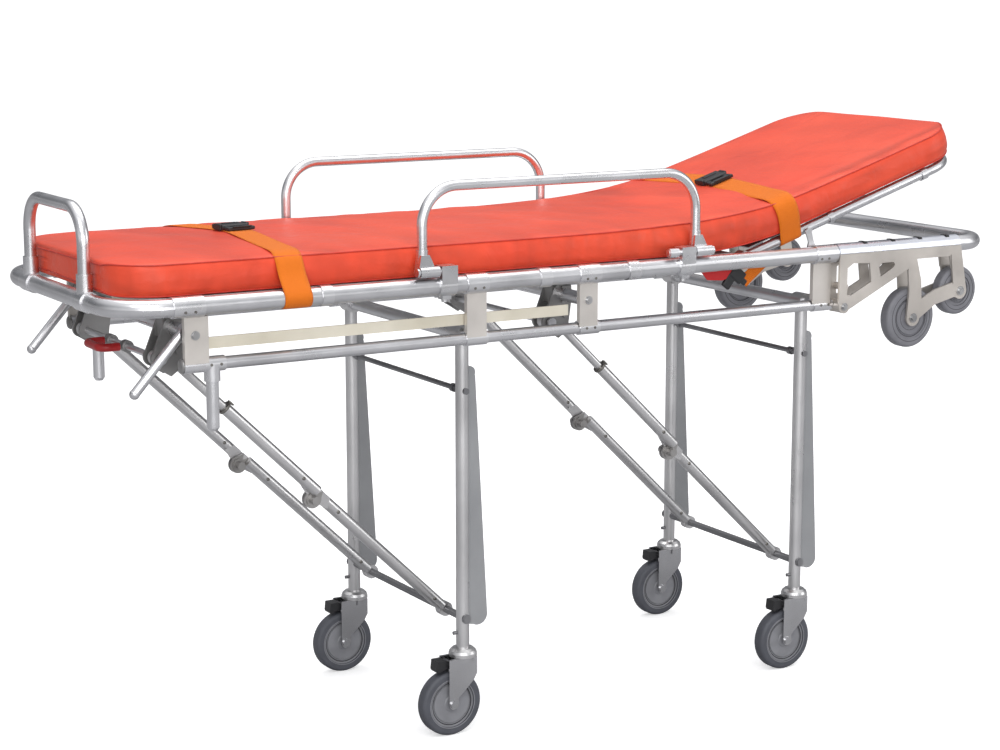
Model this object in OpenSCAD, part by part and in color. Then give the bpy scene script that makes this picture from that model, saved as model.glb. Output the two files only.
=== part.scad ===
// Folding self-loading stretcher trolley.
// Origin: floor level, under the middle of the trolley. +X head end, -Y right side, +Z up.
// "left" is +Y and "right" is -Y, for somebody who pushes from the foot end.

/* [Frame] */
// Half distance between the two side rails, centre to centre
rail_y = 288; // [284:1:296]
// Height of the side rails
rail_z = 868; // [864:1:872]
// Radius of the side rail tube
rail_r = 16; // [15:0.5:16]
// Tube wall
wall = 2; // [1.5:0.5:3]
// Place of the foot end bar
foot_x = -990.5; // [-1000:0.5:-985]
// Place of the head end bar
head_x = 925; // [920:1:930]
// Bend radius of the foot end corners
foot_bend = 95; // [80:5:110]
// Bend radius of the head end corners
head_bend = 70; // [50:5:70]
// Half distance between the lower rails
lower_y = 274; // [272:1:275]
// Height of the lower rails and of the leg hinges
lower_z = 765; // [762:1:768]
// Radius of the lower rail tube
lower_r = 11; // [10:0.5:11]

/* [Legs] */
// Place of the foot leg pair
foot_leg_x = -300; // [-304:1:-298]
// Place of the head leg pair
head_leg_x = 490; // [488:1:494]
// Half distance between the two legs of a pair
leg_y = 225; // [223:1:226]
// Leg tube radius
leg_r = 12.5; // [11:0.5:12.5]
// Castor wheel radius
wheel_r = 62.5; // [60:0.5:62.5]
// Castor trail, swivel axis to wheel axle
trail = 30; // [26:1:32]

/* [Backrest] */
// Place of the backrest hinge
hinge_x = 320; // [310:1:330]
// Angle of the backrest as built
back_angle = 17.4; // [10:0.1:25]
// Length of the backrest frame from its hinge to its end bar
back_len = 574; // [565:1:580]

/* [Mattress] */
// Half width of the mattress
mat_y = 264; // [255:1:265]
// Thickness of the mattress
mat_t = 61; // [50:1:66]

/* [Side guards] */
// Place of the guard post towards the foot end
post_foot_x = -413; // [-415:1:-411]
// Place of the guard post towards the head end
post_head_x = 183; // [182:1:185]
// Height of the guard's top bar
guard_z = 1046; // [1020:1:1060]
// Radius of the guard tube
guard_r = 9.5; // [8:0.5:10]

/* [Hidden] */
$fn = 48;

left = 1;
right = -1;
middle_x = 34;                     // X places here are measured from this far beyond the origin
run_gap = 0.07;                    // radial clearance of a pin that turns in its hole
sleeve_r = rail_r + 2.5;           // outside of the sleeves on the side rails
lower_sleeve_r = lower_r + 2.5;    // outside of the sleeves on the lower rails
straight_x0 = foot_x + foot_bend;  // the side rails are straight from here
straight_x1 = head_x - head_bend;  // to here
loop_y = 138;                      // half width of the foot loop
loop_r = 11;
loop_top_z = 1026;
loop_bend = 60;
rail_rivet_x = [-867, -308, -67, 485];
lower_rivet_x = [-815, -57, 500];

// Places along the rails: [from, to]
rail_sleeve_spans = [
    [straight_x0, -839], [-620, -599], [-330, -287], [-176, -152], [-90, -44], [20, 44], [467, 519]
];
plate_spans = [[-872, -828], [-324, -283], [-82, -42], [469, 514]];
lower_sleeve_spans = [[-872, -796], [-323, -279], [-79, -35], [476, 521]];
lower_x0 = -872;
lower_x1 = 521;
peg_x = -818;
peg_tip_z = 648;
plate_y0 = 277;                    // inner and outer face of the link plates
plate_y1 = 287;

// Leg linkage, measured in X from the leg of its pair
strut_top = [-580, 766];           // pivot of the upper strut in the latch housing
strut_knee = [-282, 476];          // knee pivot
strut_foot = [0, 224];             // pivot of the lower strut on the leg's cross rod
latch_tube = [-552.5, 818];        // cross tube that carries the latch housings
knee_drop = 15;                    // knee pivot below the middle of the strut tubes
strut_r = 11;
thin_rod_r = 8;
thin_rod_len = 158;                // the right hand struts are thin down to here
upper_strut_y = 177;
lower_strut_y = 153;
lug_r = 17;
top_pin_r = 6;
foot_rod_r = 7;
stay_rod_z = 660;
stay_rod_r = 5;
latch_tube_r = 12.5;
leg_axle_r = 12.5;
leg_hub_r = 18;

// Castor, measured from the floor and from its swivel axis
cap_z0 = 150.5;
cap_z1 = 166;
crown_z0 = 140;
crown_z1 = 150;
king_r = 6;
axle_r = 5;
cheek_y0 = 17;
cheek_t = 3;
hub_r = 46;
hub_w = 24;
tyre_w = 28;
brake_pin = [-36, 139];
brake_pin_r = 2.5;

// Loading wheels: place, radius
lower_wheel = [716, 724, 62];
upper_wheel = [841, 771, 50.5];
load_wheel_w = 27;
load_wheel_y = 286.5;
bracket_y0 = 268;                  // inner face of the inner bracket plate
bracket_y1 = 272;
bracket_y2 = 301;
bracket_y3 = 306;                  // outer face of the outer bracket plate
bracket_foot = [534.5, 761];
load_axle_r = 5;

// Backrest
back_y = 250;
back_r = 10;
back_bend = 70;
back_pin_r = 6;
back_collars = [[220, 232], [471, 486]];
prop_pivot = 158;                  // place of the prop pivot along the backrest
mat_z = 881.3;
mat_lift = mat_z - rail_z;         // mattress underside above the hinge
mat_len = 594;
mat_corner = 95;
fold_half = 37.5;                  // half of the backrest's full angle
mat_foot_x = -974;
mat_foot_corner = 90;
panel_t = 2;

// Straps
strap_w = 52;
strap_t = 2.5;
leg_strap_x = -692;
chest_strap_s = 93;
buckle_size = [72, 62, 11];

// Guards
guard_y = 282;
guard_pivot = [300, 896];          // place of the guard's hinge across the trolley, and height
guard_bend = 70;
guard_pin_r = 5;
clamp_spans = [[-388, -354], [134, 168]];

// Release levers, link bars and handle
lever_tip = [-954, 722.5];
lever_root = [-866, 820];
lever_r = 8.5;
lever_y0 = 252;
lever_y1 = 270;
bar_x0 = -830;
bar_x1 = -100;
bar_z0 = 791;
bar_h = 20;
bar_y0 = 271;
bar_y1 = 275;
handle_y = 38;
handle_x = -928;
handle_r = 4.5;
handle_bend = 15;
grip_r = 7.5;

// ---------- helpers ----------

module rod_x(x0, x1, y, z, r) translate([x0, y, z]) rotate([0, 90, 0]) cylinder(h = x1 - x0, r = r);
module rod_y(y0, y1, x, z, r) translate([x, y0, z]) rotate([-90, 0, 0]) cylinder(h = y1 - y0, r = r);
module rod_z(z0, z1, x, y, r) translate([x, y, z0]) cylinder(h = z1 - z0, r = r);

module tube_x(x0, x1, y, z, r, t = wall) difference() {
    rod_x(x0, x1, y, z, r);
    rod_x(x0 - 1, x1 + 1, y, z, r - t);
}

module tube_y(y0, y1, x, z, r, t = wall) difference() {
    rod_y(y0, y1, x, z, r);
    rod_y(y0 - 1, y1 + 1, x, z, r - t);
}

// A round bar between two places [x, z], at one y
module bar_xz(a, b, y, r) {
    run = b - a;
    translate([a[0], y, a[1]]) rotate([0, atan2(run[0], run[1]), 0]) cylinder(h = norm(run), r = r);
}

// A flat shape drawn in X and Z, from y0 to y1
module plate(y0, y1) translate([0, y1, 0]) rotate([90, 0, 0]) linear_extrude(y1 - y0) children();

// A ring drawn round a Y axis
module ring_y(y0, y1, c, r, hole) difference() {
    rod_y(y0, y1, c[0], c[1], r);
    rod_y(y0 - 1, y1 + 1, c[0], c[1], hole);
}

module both_sides() {
    children();
    mirror([0, 1, 0]) children();
}

// Quarter bend of a tube, lying flat, from +X round to +Y about the origin
module bend(radius, r, t = wall) rotate_extrude(angle = 90) translate([radius, 0]) difference() {
    circle(r);
    circle(r - t);
}

module solid_bend(radius, r) rotate_extrude(angle = 90) translate([radius, 0]) circle(r);

function rounded_end(x1, half_w, r, n = 8) = [
    for (i = [0 : n]) [x1 - r + r * sin(90 * i / n), half_w - r + r * cos(90 * i / n)]
];
function mirrored(points) = [for (i = [len(points) - 1 : -1 : 0]) [points[i][0], -points[i][1]]];
function unit(v) = v / norm(v);
function side(s) = s > 0 ? [0, 0, 0] : [0, 1, 0];

// Moves the trolley so that its middle stands over the origin
module centred() translate([middle_x, 0, 0]) children();

// Puts +Y parts on the side s
module on_side(s) if (s > 0) children(); else mirror([0, 1, 0]) children();

// Backrest coordinates: X along the backrest from its hinge, Z square to it
module in_backrest() translate([hinge_x, 0, rail_z]) rotate([0, -back_angle, 0]) children();

// ---------- frame ----------

module side_rails() color("silver") both_sides()
    tube_x(straight_x0, straight_x1, rail_y, rail_z, rail_r);

// Half of an end bar with its corner; x is the bar, dir is +1 for the head end
module end_half(x, radius, dir) {
    translate([x - dir * radius, rail_y - radius, rail_z])
        mirror([dir > 0 ? 0 : 1, 0, 0]) bend(radius, rail_r);
    tube_y(0, rail_y - radius, x, rail_z, rail_r);
}

module foot_end_tube() color("silver") both_sides() end_half(foot_x, foot_bend, -1);

module head_end_tube() color("silver") both_sides() end_half(head_x, head_bend, 1);

// Socket for one leg of the foot loop, on the foot bar
module loop_socket() difference() {
    union() {
        rod_y(loop_y - 22, loop_y + 22, foot_x, rail_z, sleeve_r);
        rod_z(rail_z, rail_z + 47, foot_x, loop_y, loop_r + 3);
    }
    rod_y(loop_y - 23, loop_y + 23, foot_x, rail_z, rail_r);
    rod_z(rail_z, rail_z + 48, foot_x, loop_y, loop_r);
}

// Two rivets side by side in a sleeve; they sit 1 mm deep in it
module rivets(x, y, z, out) for (dx = [-9, 9]) rod_y(y + out - 1, y + out + 0.8, x + dx, z, 2.5);

module rail_rivets() for (x = rail_rivet_x) rivets(x, rail_y, rail_z - 7, sleeve_r - 1.3);
module lower_rivets() for (x = lower_rivet_x) rivets(x, lower_y, lower_z, lower_sleeve_r);

module rail_sleeves() color("gainsboro") both_sides() {
    difference() {
        for (span = rail_sleeve_spans)
            tube_x(span[0], span[1], rail_y, rail_z, sleeve_r, sleeve_r - rail_r);
        rail_rivets();
    }
    loop_socket();
}

module lower_rails() color("silver") both_sides()
    tube_x(lower_x0, lower_x1, lower_y, lower_z, lower_r);

// Storage peg that points down under the T sleeve
module storage_peg() difference() {
    union() {
        rod_z(lower_z - 30, lower_z, peg_x, lower_y, 14);
        rod_z(peg_tip_z + 6, lower_z - 30, peg_x, lower_y, lower_r);
        translate([peg_x, lower_y, peg_tip_z]) cylinder(h = 6, r1 = lower_r - 4, r2 = lower_r);
    }
    rod_x(peg_x - 20, peg_x + 20, lower_y, lower_z, lower_r);
}

module lower_sleeves() color("gainsboro") both_sides() {
    difference() {
        for (span = lower_sleeve_spans)
            tube_x(span[0], span[1], lower_y, lower_z, lower_sleeve_r, lower_sleeve_r - lower_r);
        lower_rivets();
    }
    difference() {
        storage_peg();
        rod_x(peg_x - 20, peg_x + 20, lower_y, lower_z, lower_sleeve_r);
    }
}

// Upright plate between the upper and the lower rail, shaped round both sleeves
module link_plate(span) difference() {
    translate([span[0], plate_y0, lower_z])
        cube([span[1] - span[0], plate_y1 - plate_y0, rail_z - lower_z]);
    rod_x(span[0] - 1, span[1] + 1, rail_y, rail_z, sleeve_r);
    rod_x(span[0] - 1, span[1] + 1, lower_y, lower_z, lower_sleeve_r);
}

// Guide that holds a link bar against a plate, above and below the bar
module bar_guide(x) for (z = [bar_z0 - 4.5, bar_z0 + bar_h + 0.5])
    translate([x, bar_y0 - 2, z]) cube([14, plate_y0 - bar_y0 + 2, 4]);

module link_plates() color("tan") both_sides() {
    for (span = plate_spans) link_plate(span);
    bar_guide(-310);
}

// A bolt head with a washer, square to the side of the trolley
module side_bolt(x, y, z, r) {
    rod_y(y, y + 1.5, x, z, r * 1.6);
    rod_y(y + 1.5, y + 5, x, z, r);
}

module frame_fasteners() color("dimgray") both_sides() {
    side_bolt(foot_leg_x + latch_tube[0], plate_y1, latch_tube[1], 5);
    side_bolt(head_leg_x + latch_tube[0], plate_y1, latch_tube[1], 5);
    rail_rivets();
    lower_rivets();
    side_bolt(bracket_foot[0], bracket_y3, bracket_foot[1], 5);
    for (wheel = [lower_wheel, upper_wheel]) {
        rod_y(bracket_y0 - 4, bracket_y3, wheel[0], wheel[1], load_axle_r);
        rod_y(bracket_y0 - 4, bracket_y0, wheel[0], wheel[1], 8);
        side_bolt(wheel[0], bracket_y3, wheel[1], 6);
    }
}

// Tubes across the frame: leg hinges, latch tubes and strut pivots of both leg pairs
module cross_tubes() color("dimgray") for (x = [foot_leg_x, head_leg_x]) {
    difference() {
        tube_y(-lower_y, lower_y, x, lower_z, leg_axle_r);
        both_sides() rod_x(x - 20, x + 20, lower_y, lower_z, lower_sleeve_r);
    }
    tube_y(-plate_y0, plate_y0, x + latch_tube[0], latch_tube[1], latch_tube_r);
    rod_y(-204, 204, x + strut_top[0], strut_top[1], top_pin_r);
    both_sides() rod_y(199, 204, x + strut_top[0], strut_top[1], 9);
}

// Latch housing: two cheeks and a block round the latch tube; the upper strut swings between them
module latch_housing(x) {
    tube_c = [x + latch_tube[0], latch_tube[1]];
    pin_c = [x + strut_top[0], strut_top[1]];
    for (y = [157, 191]) difference() {
        plate(y, y + 5) {
            translate(tube_c) circle(22);
            translate(pin_c) circle(17);
            polygon([
                tube_c + [-20, 9], tube_c + [22, 0], tube_c + [12, -70],
                tube_c + [-8, -84], pin_c + [-12, -12], pin_c + [-17, 0]
            ]);
        }
        rod_y(y - 1, y + 6, tube_c[0], tube_c[1], latch_tube_r);
        rod_y(y - 1, y + 6, pin_c[0], pin_c[1], top_pin_r);
    }
    difference() {
        translate([tube_c[0] - 20, 162, tube_c[1] - 16]) cube([42, 29, 40]);
        rod_y(161, 192, tube_c[0], tube_c[1], latch_tube_r);
    }
    rod_y(196, 200, tube_c[0] + 6, tube_c[1] - 40, 6);
    difference() {
        translate([tube_c[0] - 4, 196, tube_c[1] - 16]) cube([20, 6, 32]);
        rod_y(195, 203, tube_c[0], tube_c[1], latch_tube_r);
    }
}

module latch_housings() color("dimgray") both_sides() {
    latch_housing(foot_leg_x);
    latch_housing(head_leg_x);
}

// Tubes that carry the bed panel, shaped round the rails or their sleeves
module bed_cross_tubes() color("silver") {
    for (x = [-867, -610, -164, 32]) difference() {
        tube_y(-rail_y, rail_y, x, rail_z, 11);
        both_sides() rod_x(x - 20, x + 20, rail_y, rail_z, sleeve_r);
    }
    difference() {
        tube_y(-rail_y, rail_y, 285, rail_z, 11);
        both_sides() rod_x(265, 305, rail_y, rail_z, rail_r);
    }
    // hinge pins of the backrest
    both_sides() difference() {
        rod_y(back_y - 14, rail_y, hinge_x, rail_z, back_pin_r);
        rod_x(hinge_x - 20, hinge_x + 20, rail_y, rail_z, rail_r);
    }
    both_sides() rod_y(back_y - 14, back_y - 11, hinge_x, rail_z, 9);
}

module bed_panel() color("lightgray") translate([0, 0, rail_z + 11]) linear_extrude(panel_t) {
    half = 262;
    corner = 80;
    foot = [for (p = rounded_end(955, half, corner)) [-p[0], p[1]]];
    polygon(concat([[290, half]], mirrored(mirrored(foot)), mirrored(foot), [[290, -half]]));
}

// U-shaped loop at the foot end
module foot_loop() color("silver") {
    leg_top = loop_top_z - loop_bend;
    both_sides() {
        difference() {
            rod_z(rail_z + 8, leg_top, foot_x, loop_y, loop_r);
            rod_z(rail_z, leg_top + 1, foot_x, loop_y, loop_r - wall);
            rod_y(loop_y - 23, loop_y + 23, foot_x, rail_z, rail_r);
        }
        translate([foot_x, loop_y - loop_bend, leg_top]) rotate([90, 0, 90]) bend(loop_bend, loop_r);
        tube_y(0, loop_y - loop_bend, foot_x, loop_top_z, loop_r);
    }
}

// Half sleeve on the top of the rail, with the backrest's notches
module ratchet_strips() color("gainsboro") both_sides() difference() {
    tube_x(521, 838, rail_y, rail_z, rail_r + 3, 3);
    translate([520, rail_y - 30, rail_z - 40]) cube([320, 60, 40]);
    for (x = [592, 665, 736, 809]) translate([x - 5, rail_y - 30, rail_z + 8])
        cube([10, 41, 20]);
}

// ---------- loading wheels ----------

// Side view of the bracket: a braced top band, the long leg to the lower wheel and the curved arm
module bracket_outline() difference() {
    union() {
        polygon([
            [521, 866], [521, 757], [541, 752], [552, 757], [700, 826], [704, 780], [699, 722],
            [733, 722], [741, 756], [772, 777], [820, 786], [812, 848], [840, 848], [840, 866]
        ]);
        polygon([[812, 862], [840, 862], [858, 772], [824, 772]]);
        polygon([
            [733, 722], [773, 747], [825, 759], [846, 754], [846, 790], [820, 786], [772, 777], [735, 752]
        ]);
        translate([lower_wheel[0], lower_wheel[1]]) circle(17);
        translate([upper_wheel[0], upper_wheel[1]]) circle(17);
        translate(bracket_foot) circle(13.5);
    }
    polygon([[722, 845], [811, 845], [821, 790], [772, 778], [737, 762], [735, 800]]);
    polygon([[541, 838], [556, 847], [598, 845], [603, 807], [552, 783], [541, 784]]);
    polygon([[622, 836], [631, 843], [660, 843], [664, 838], [660, 832], [627, 815]]);
}

module loading_bracket() difference() {
    union() {
        plate(bracket_y0, bracket_y1) bracket_outline();
        plate(bracket_y2, bracket_y3) bracket_outline();
        translate([524, bracket_y1 - 1, 847]) cube([314, bracket_y2 - bracket_y1 + 2, 4.6]);
        rod_y(bracket_y1 - 1, bracket_y2 + 1, 540, 800, 7);
        rod_y(bracket_y1 - 1, bracket_y2 + 1, bracket_foot[0], bracket_foot[1], 13);
    }
    rod_x(500, 860, rail_y, rail_z, rail_r);
    for (wheel = [lower_wheel, upper_wheel])
        rod_y(bracket_y0 - 1, bracket_y3 + 1, wheel[0], wheel[1], load_axle_r);
}

module loading_brackets() color("tan") both_sides() loading_bracket();

// Wheel section: from its middle plane out to one side
module tyre_section(r_in, r_out, w) polygon(concat(
    [[r_in, -w / 2], [r_in, w / 2]],
    [for (i = [0 : 8]) [r_out - 7 + 7 * sin(90 * i / 8), w / 2 - 7 + 7 * cos(90 * i / 8)]],
    [for (i = [8 : -1 : 0]) [r_out - 7 + 7 * sin(90 * i / 8), -w / 2 + 7 - 7 * cos(90 * i / 8)]]
));

module hub_section(bore, r_out, w) polygon([
    [bore, -w / 2], [bore, w / 2], [bore + 9, w / 2], [bore + 11, w / 2 - 1.5], [r_out - 9, w / 2 - 2],
    [r_out - 8, w / 2 - 4], [r_out - 6, w / 2 - 4], [r_out - 5, w / 2 - 1], [r_out, w / 2 - 1],
    [r_out, -w / 2 + 1], [r_out - 5, -w / 2 + 1], [r_out - 6, -w / 2 + 4], [r_out - 8, -w / 2 + 4],
    [r_out - 9, -w / 2 + 2], [bore + 11, -w / 2 + 1.5], [bore + 9, -w / 2]
]);

module loading_wheel(wheel) translate([wheel[0], load_wheel_y, wheel[1]]) rotate([90, 0, 0]) {
    color("gray") rotate_extrude() hub_section(load_axle_r + run_gap, wheel[2] - 18, load_wheel_w - 1);
    color("dimgray") rotate_extrude() tyre_section(wheel[2] - 18, wheel[2], load_wheel_w);
}

module loading_wheel_lower_left() on_side(left) loading_wheel(lower_wheel);
module loading_wheel_lower_right() on_side(right) loading_wheel(lower_wheel);
module loading_wheel_upper_left() on_side(left) loading_wheel(upper_wheel);
module loading_wheel_upper_right() on_side(right) loading_wheel(upper_wheel);

// ---------- guards ----------

// Clamp round the rail, with a block above it that carries the guard's hinge pin
module guard_clamp(span, pin_from, pin_to) {
    difference() {
        union() {
            rod_x(span[0], span[1], rail_y, rail_z, rail_r + 3.5);
            translate([span[0] + 1, rail_y - 6, rail_z + 6])
                cube([span[1] - span[0] - 2, 27, 32]);
            translate([(span[0] + span[1]) / 2 - 9, rail_y - 9, rail_z - 24]) cube([18, 18, 14]);
            rod_z(rail_z - 29, rail_z - 20, (span[0] + span[1]) / 2, rail_y, 6);
            rod_x(pin_from, pin_to, guard_pivot[0], guard_pivot[1], guard_pin_r);
        }
        rod_x(span[0] - 1, span[1] + 1, rail_y, rail_z, rail_r);
    }
}

module guard_clamps() color("tan") both_sides() {
    guard_clamp(clamp_spans[0], -431, -360);
    guard_clamp(clamp_spans[1], 108, 209);
    rod_x(-434, -430.5, guard_pivot[0], guard_pivot[1], 8);
    rod_x(208.5, 212, guard_pivot[0], guard_pivot[1], 8);
    rod_x(109, 130, guard_pivot[0], guard_pivot[1], 8.5);
}

// Foot of a guard post: a ring on the hinge pin and a flared shoe that steps in to the post
module guard_foot(x, x0, x1) difference() {
    union() {
        rod_x(x0, x1, guard_pivot[0], guard_pivot[1], 10);
        plate(guard_y - 6, guard_y + 12.5) polygon([
            [x0 + 2, guard_pivot[1] - 5], [x1 - 2, guard_pivot[1] - 5], [x1 - 3, guard_pivot[1] + 6],
            [x + guard_r - 1, guard_pivot[1] + 30], [x - guard_r + 1, guard_pivot[1] + 30]
        ]);
        rod_z(guard_pivot[1] + 4, guard_pivot[1] + 38, x, guard_y, guard_r + 1.5);
    }
    rod_x(x0 - 1, x1 + 1, guard_pivot[0], guard_pivot[1], guard_pin_r + run_gap);
    // the shoe stays off the rail's top
    translate([x0 - 1, guard_y - 20, guard_pivot[1] - 12]) cube([x1 - x0 + 2, 32, 8.5]);
}

module guard() {
    top = guard_z - guard_bend;
    guard_foot(post_foot_x, -429, -390);
    guard_foot(post_head_x, 170, 207);
    for (x = [post_foot_x, post_head_x]) difference() {
        rod_z(guard_pivot[1] + 38, top, x, guard_y, guard_r);
        rod_z(guard_pivot[1] + 37, top + 1, x, guard_y, guard_r - wall);
    }
    translate([post_foot_x + guard_bend, guard_y, top]) rotate([90, 0, 0]) rotate([0, 0, 90])
        bend(guard_bend, guard_r);
    translate([post_head_x - guard_bend, guard_y, top]) rotate([90, 0, 0]) bend(guard_bend, guard_r);
    tube_x(post_foot_x + guard_bend, post_head_x - guard_bend, guard_y, guard_z, guard_r);
}

module guard_left() color("silver") on_side(left) guard();
module guard_right() color("silver") on_side(right) guard();

// ---------- backrest ----------

module backrest_frame() color("silver") in_backrest() {
    difference() {
        both_sides() {
            tube_x(10, back_len - back_bend, back_y, 0, back_r);
            translate([back_len - back_bend, back_y - back_bend, 0]) bend(back_bend, back_r);
            tube_y(0, back_y - back_bend, back_len, 0, back_r);
            rod_y(back_y - 10, back_y + 10, 0, 0, 14);
            for (span = back_collars) rod_x(span[0], span[1], back_y, 0, back_r + 2.5);
        }
        both_sides() {
            rod_y(back_y - 11, back_y + 11, 0, 0, back_pin_r + run_gap);
            for (span = back_collars) rod_x(span[0] - 1, span[1] + 1, back_y, 0, back_r - wall);
        }
    }
    for (s = [60, 330]) tube_y(-back_y + back_r - 1, back_y - back_r + 1, s, 0, 8);
    both_sides() rod_y(back_y + back_r - 1, back_y + 17, prop_pivot, -4, 4);
}

module backrest_panel() color("lightgray") in_backrest() difference() {
    half = 246;
    end = rounded_end(back_len - 8, half, 66);
    translate([0, 0, back_r]) linear_extrude(panel_t)
        polygon(concat([[24, -half]], [[24, half]], end, mirrored(end)));
    both_sides() for (span = back_collars) rod_x(span[0] - 1, span[1] + 1, back_y, 0, back_r + 3.5);
}

// Short props that hang beside the rail and end in a claw
module backrest_prop() difference() {
    plate(263.2, 266.8) {
        translate([prop_pivot, -4]) circle(8);
        polygon([
            [prop_pivot - 7, -7], [prop_pivot + 7, -7], [prop_pivot + 6, -24], [prop_pivot + 9, -44],
            [prop_pivot + 1, -50], [prop_pivot - 2, -38], [prop_pivot - 9, -46], [prop_pivot - 14, -38],
            [prop_pivot - 6, -24]
        ]);
    }
    rod_y(262, 268, prop_pivot, -4, 4 + run_gap);
}

module backrest_props() color("gray") in_backrest() both_sides() backrest_prop();

// ---------- mattress and straps ----------

function fold_cut(t) = t * tan(fold_half) + 3;

// A mattress slab, drawn from above, with its hinge end cut back so that the two halves can fold
module mattress_seat() color("tomato") difference() {
    translate([0, 0, mat_z]) linear_extrude(mat_t)
        polygon(concat(
            [[hinge_x, mat_y]], mirrored(mirrored([
                for (p = rounded_end(-mat_foot_x, mat_y, mat_foot_corner)) [-p[0], p[1]]
            ])),
            mirrored([for (p = rounded_end(-mat_foot_x, mat_y, mat_foot_corner)) [-p[0], p[1]]]),
            [[hinge_x, -mat_y]]
        ));
    plate(-mat_y - 1, mat_y + 1) polygon([
        [hinge_x - fold_cut(0), rail_z], [hinge_x - fold_cut(90), rail_z + 90],
        [hinge_x + 30, rail_z + 90], [hinge_x + 30, rail_z]
    ]);
}

module mattress_back() color("tomato") in_backrest() difference() {
    translate([0, 0, mat_lift]) linear_extrude(mat_t)
        polygon(concat(
            [[0, -mat_y], [0, mat_y]], rounded_end(mat_len, mat_y, mat_corner),
            mirrored(rounded_end(mat_len, mat_y, mat_corner))
        ));
    plate(-mat_y - 1, mat_y + 1) polygon([
        [fold_cut(0), 0], [fold_cut(90), 90], [-30, 90], [-30, 0]
    ]);
}

// Side run of the leg strap: from the mattress edge out round the rail and under it
function strap_side(offset) = concat(
    [[mat_y + 0.5, mat_z + mat_t + 0.3 + offset]],
    [[mat_y + 1.5 + offset, mat_z + mat_t - 3]],
    [for (a = [30 : -20 : -90]) [
        rail_y + (rail_r + 0.4 + offset) * cos(a), rail_z + (rail_r + 0.4 + offset) * sin(a)
    ]]
);

module leg_strap() color("orange") {
    translate([leg_strap_x, 0, 0]) rotate([90, 0, 90]) linear_extrude(strap_w) both_sides_2d() {
        polygon(concat(strap_side(0), reversed(strap_side(strap_t))));
        translate([0, mat_z + mat_t + 0.3]) square([mat_y + 0.6, strap_t]);
    }
    color("black")
        translate([leg_strap_x + (strap_w - buckle_size[0]) / 2, 52, mat_z + mat_t + 0.3 + strap_t])
            cube(buckle_size);
}

module both_sides_2d() {
    children();
    mirror([1, 0]) children();
}

function reversed(points) = [for (i = [len(points) - 1 : -1 : 0]) points[i]];

// The chest strap goes round the mattress and the backrest tubes
module chest_strap() color("orange") in_backrest() {
    top = mat_lift + mat_t + 0.3;
    low = -back_r - 0.4;
    translate([chest_strap_s, 0, 0]) rotate([90, 0, 90]) linear_extrude(strap_w) both_sides_2d()
        polygon([
            [0, top], [mat_y + 0.4, top], [mat_y + 0.4, mat_lift - 2], [back_y + 11.5, low],
            [back_y - 14, low], [back_y - 14, low - strap_t], [back_y + 13.5, low - strap_t],
            [mat_y + 0.4 + strap_t, mat_lift - 4], [mat_y + 0.4 + strap_t, top + strap_t], [0, top + strap_t]
        ]);
    color("black") translate([chest_strap_s + (strap_w - buckle_size[0]) / 2, 20, top + strap_t])
        cube(buckle_size);
}

// Loose flap of the mattress cover, beside the hinge on the right
module mattress_flap() color("firebrick") plate(-266, -263.5)
    polygon([[204, 857], [312, 857], [292, 838], [262, 829], [226, 832]]);

// ---------- levers, link bars and handle ----------

module lever() {
    pivot = [foot_leg_x + latch_tube[0], latch_tube[1]];
    difference() {
        union() {
            rod_y(lever_y0, lever_y1, pivot[0], pivot[1], 20);
            bar_xz(lever_root, lever_tip, (lever_y0 + lever_y1) / 2, lever_r);
            translate([lever_tip[0], (lever_y0 + lever_y1) / 2, lever_tip[1]]) sphere(lever_r + 0.5);
        }
        rod_y(lever_y0 - 1, lever_y1 + 1, pivot[0], pivot[1], latch_tube_r + run_gap);
    }
}

module lever_left() color("silver") on_side(left) lever();
module lever_right() color("silver") on_side(right) lever();

module link_bar() translate([bar_x0, bar_y0, bar_z0]) cube([bar_x1 - bar_x0, bar_y1 - bar_y0, bar_h]);

module link_bar_left() color("blanchedalmond") on_side(left) link_bar();
module link_bar_right() color("blanchedalmond") on_side(right) link_bar();

handle_root_x = foot_leg_x + strut_top[0];
handle_z = strut_top[1];

module release_handle() color("gray") both_sides() {
    ring_y(handle_y - 8, handle_y + 8, [handle_root_x, handle_z], 11, top_pin_r + run_gap);
    rod_x(handle_x + handle_bend, handle_root_x - 10, handle_y, handle_z, handle_r);
    translate([handle_x + handle_bend, handle_y - handle_bend, handle_z]) mirror([1, 0, 0])
        solid_bend(handle_bend, handle_r);
    rod_y(0, handle_y - handle_bend, handle_x, handle_z, handle_r);
}

module release_grip() color("crimson") both_sides() {
    t = grip_r - handle_r;
    tube_x(handle_x + handle_bend, handle_root_x - 14, handle_y, handle_z, grip_r, t);
    translate([handle_x + handle_bend, handle_y - handle_bend, handle_z]) mirror([1, 0, 0])
        bend(handle_bend, grip_r, t);
    tube_y(0, handle_y - handle_bend, handle_x, handle_z, grip_r, t);
}

// ---------- legs and struts ----------

// Domed castor cap on the bottom of a leg
module leg_cap() rotate_extrude() polygon([
    [king_r + run_gap, cap_z0], [27, cap_z0], [27, cap_z0 + 6], [25, cap_z0 + 11], [20, cap_z1],
    [0, cap_z1], [0, cap_z1 - 3.4], [king_r + run_gap, cap_z1 - 3.4]
]);

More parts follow.
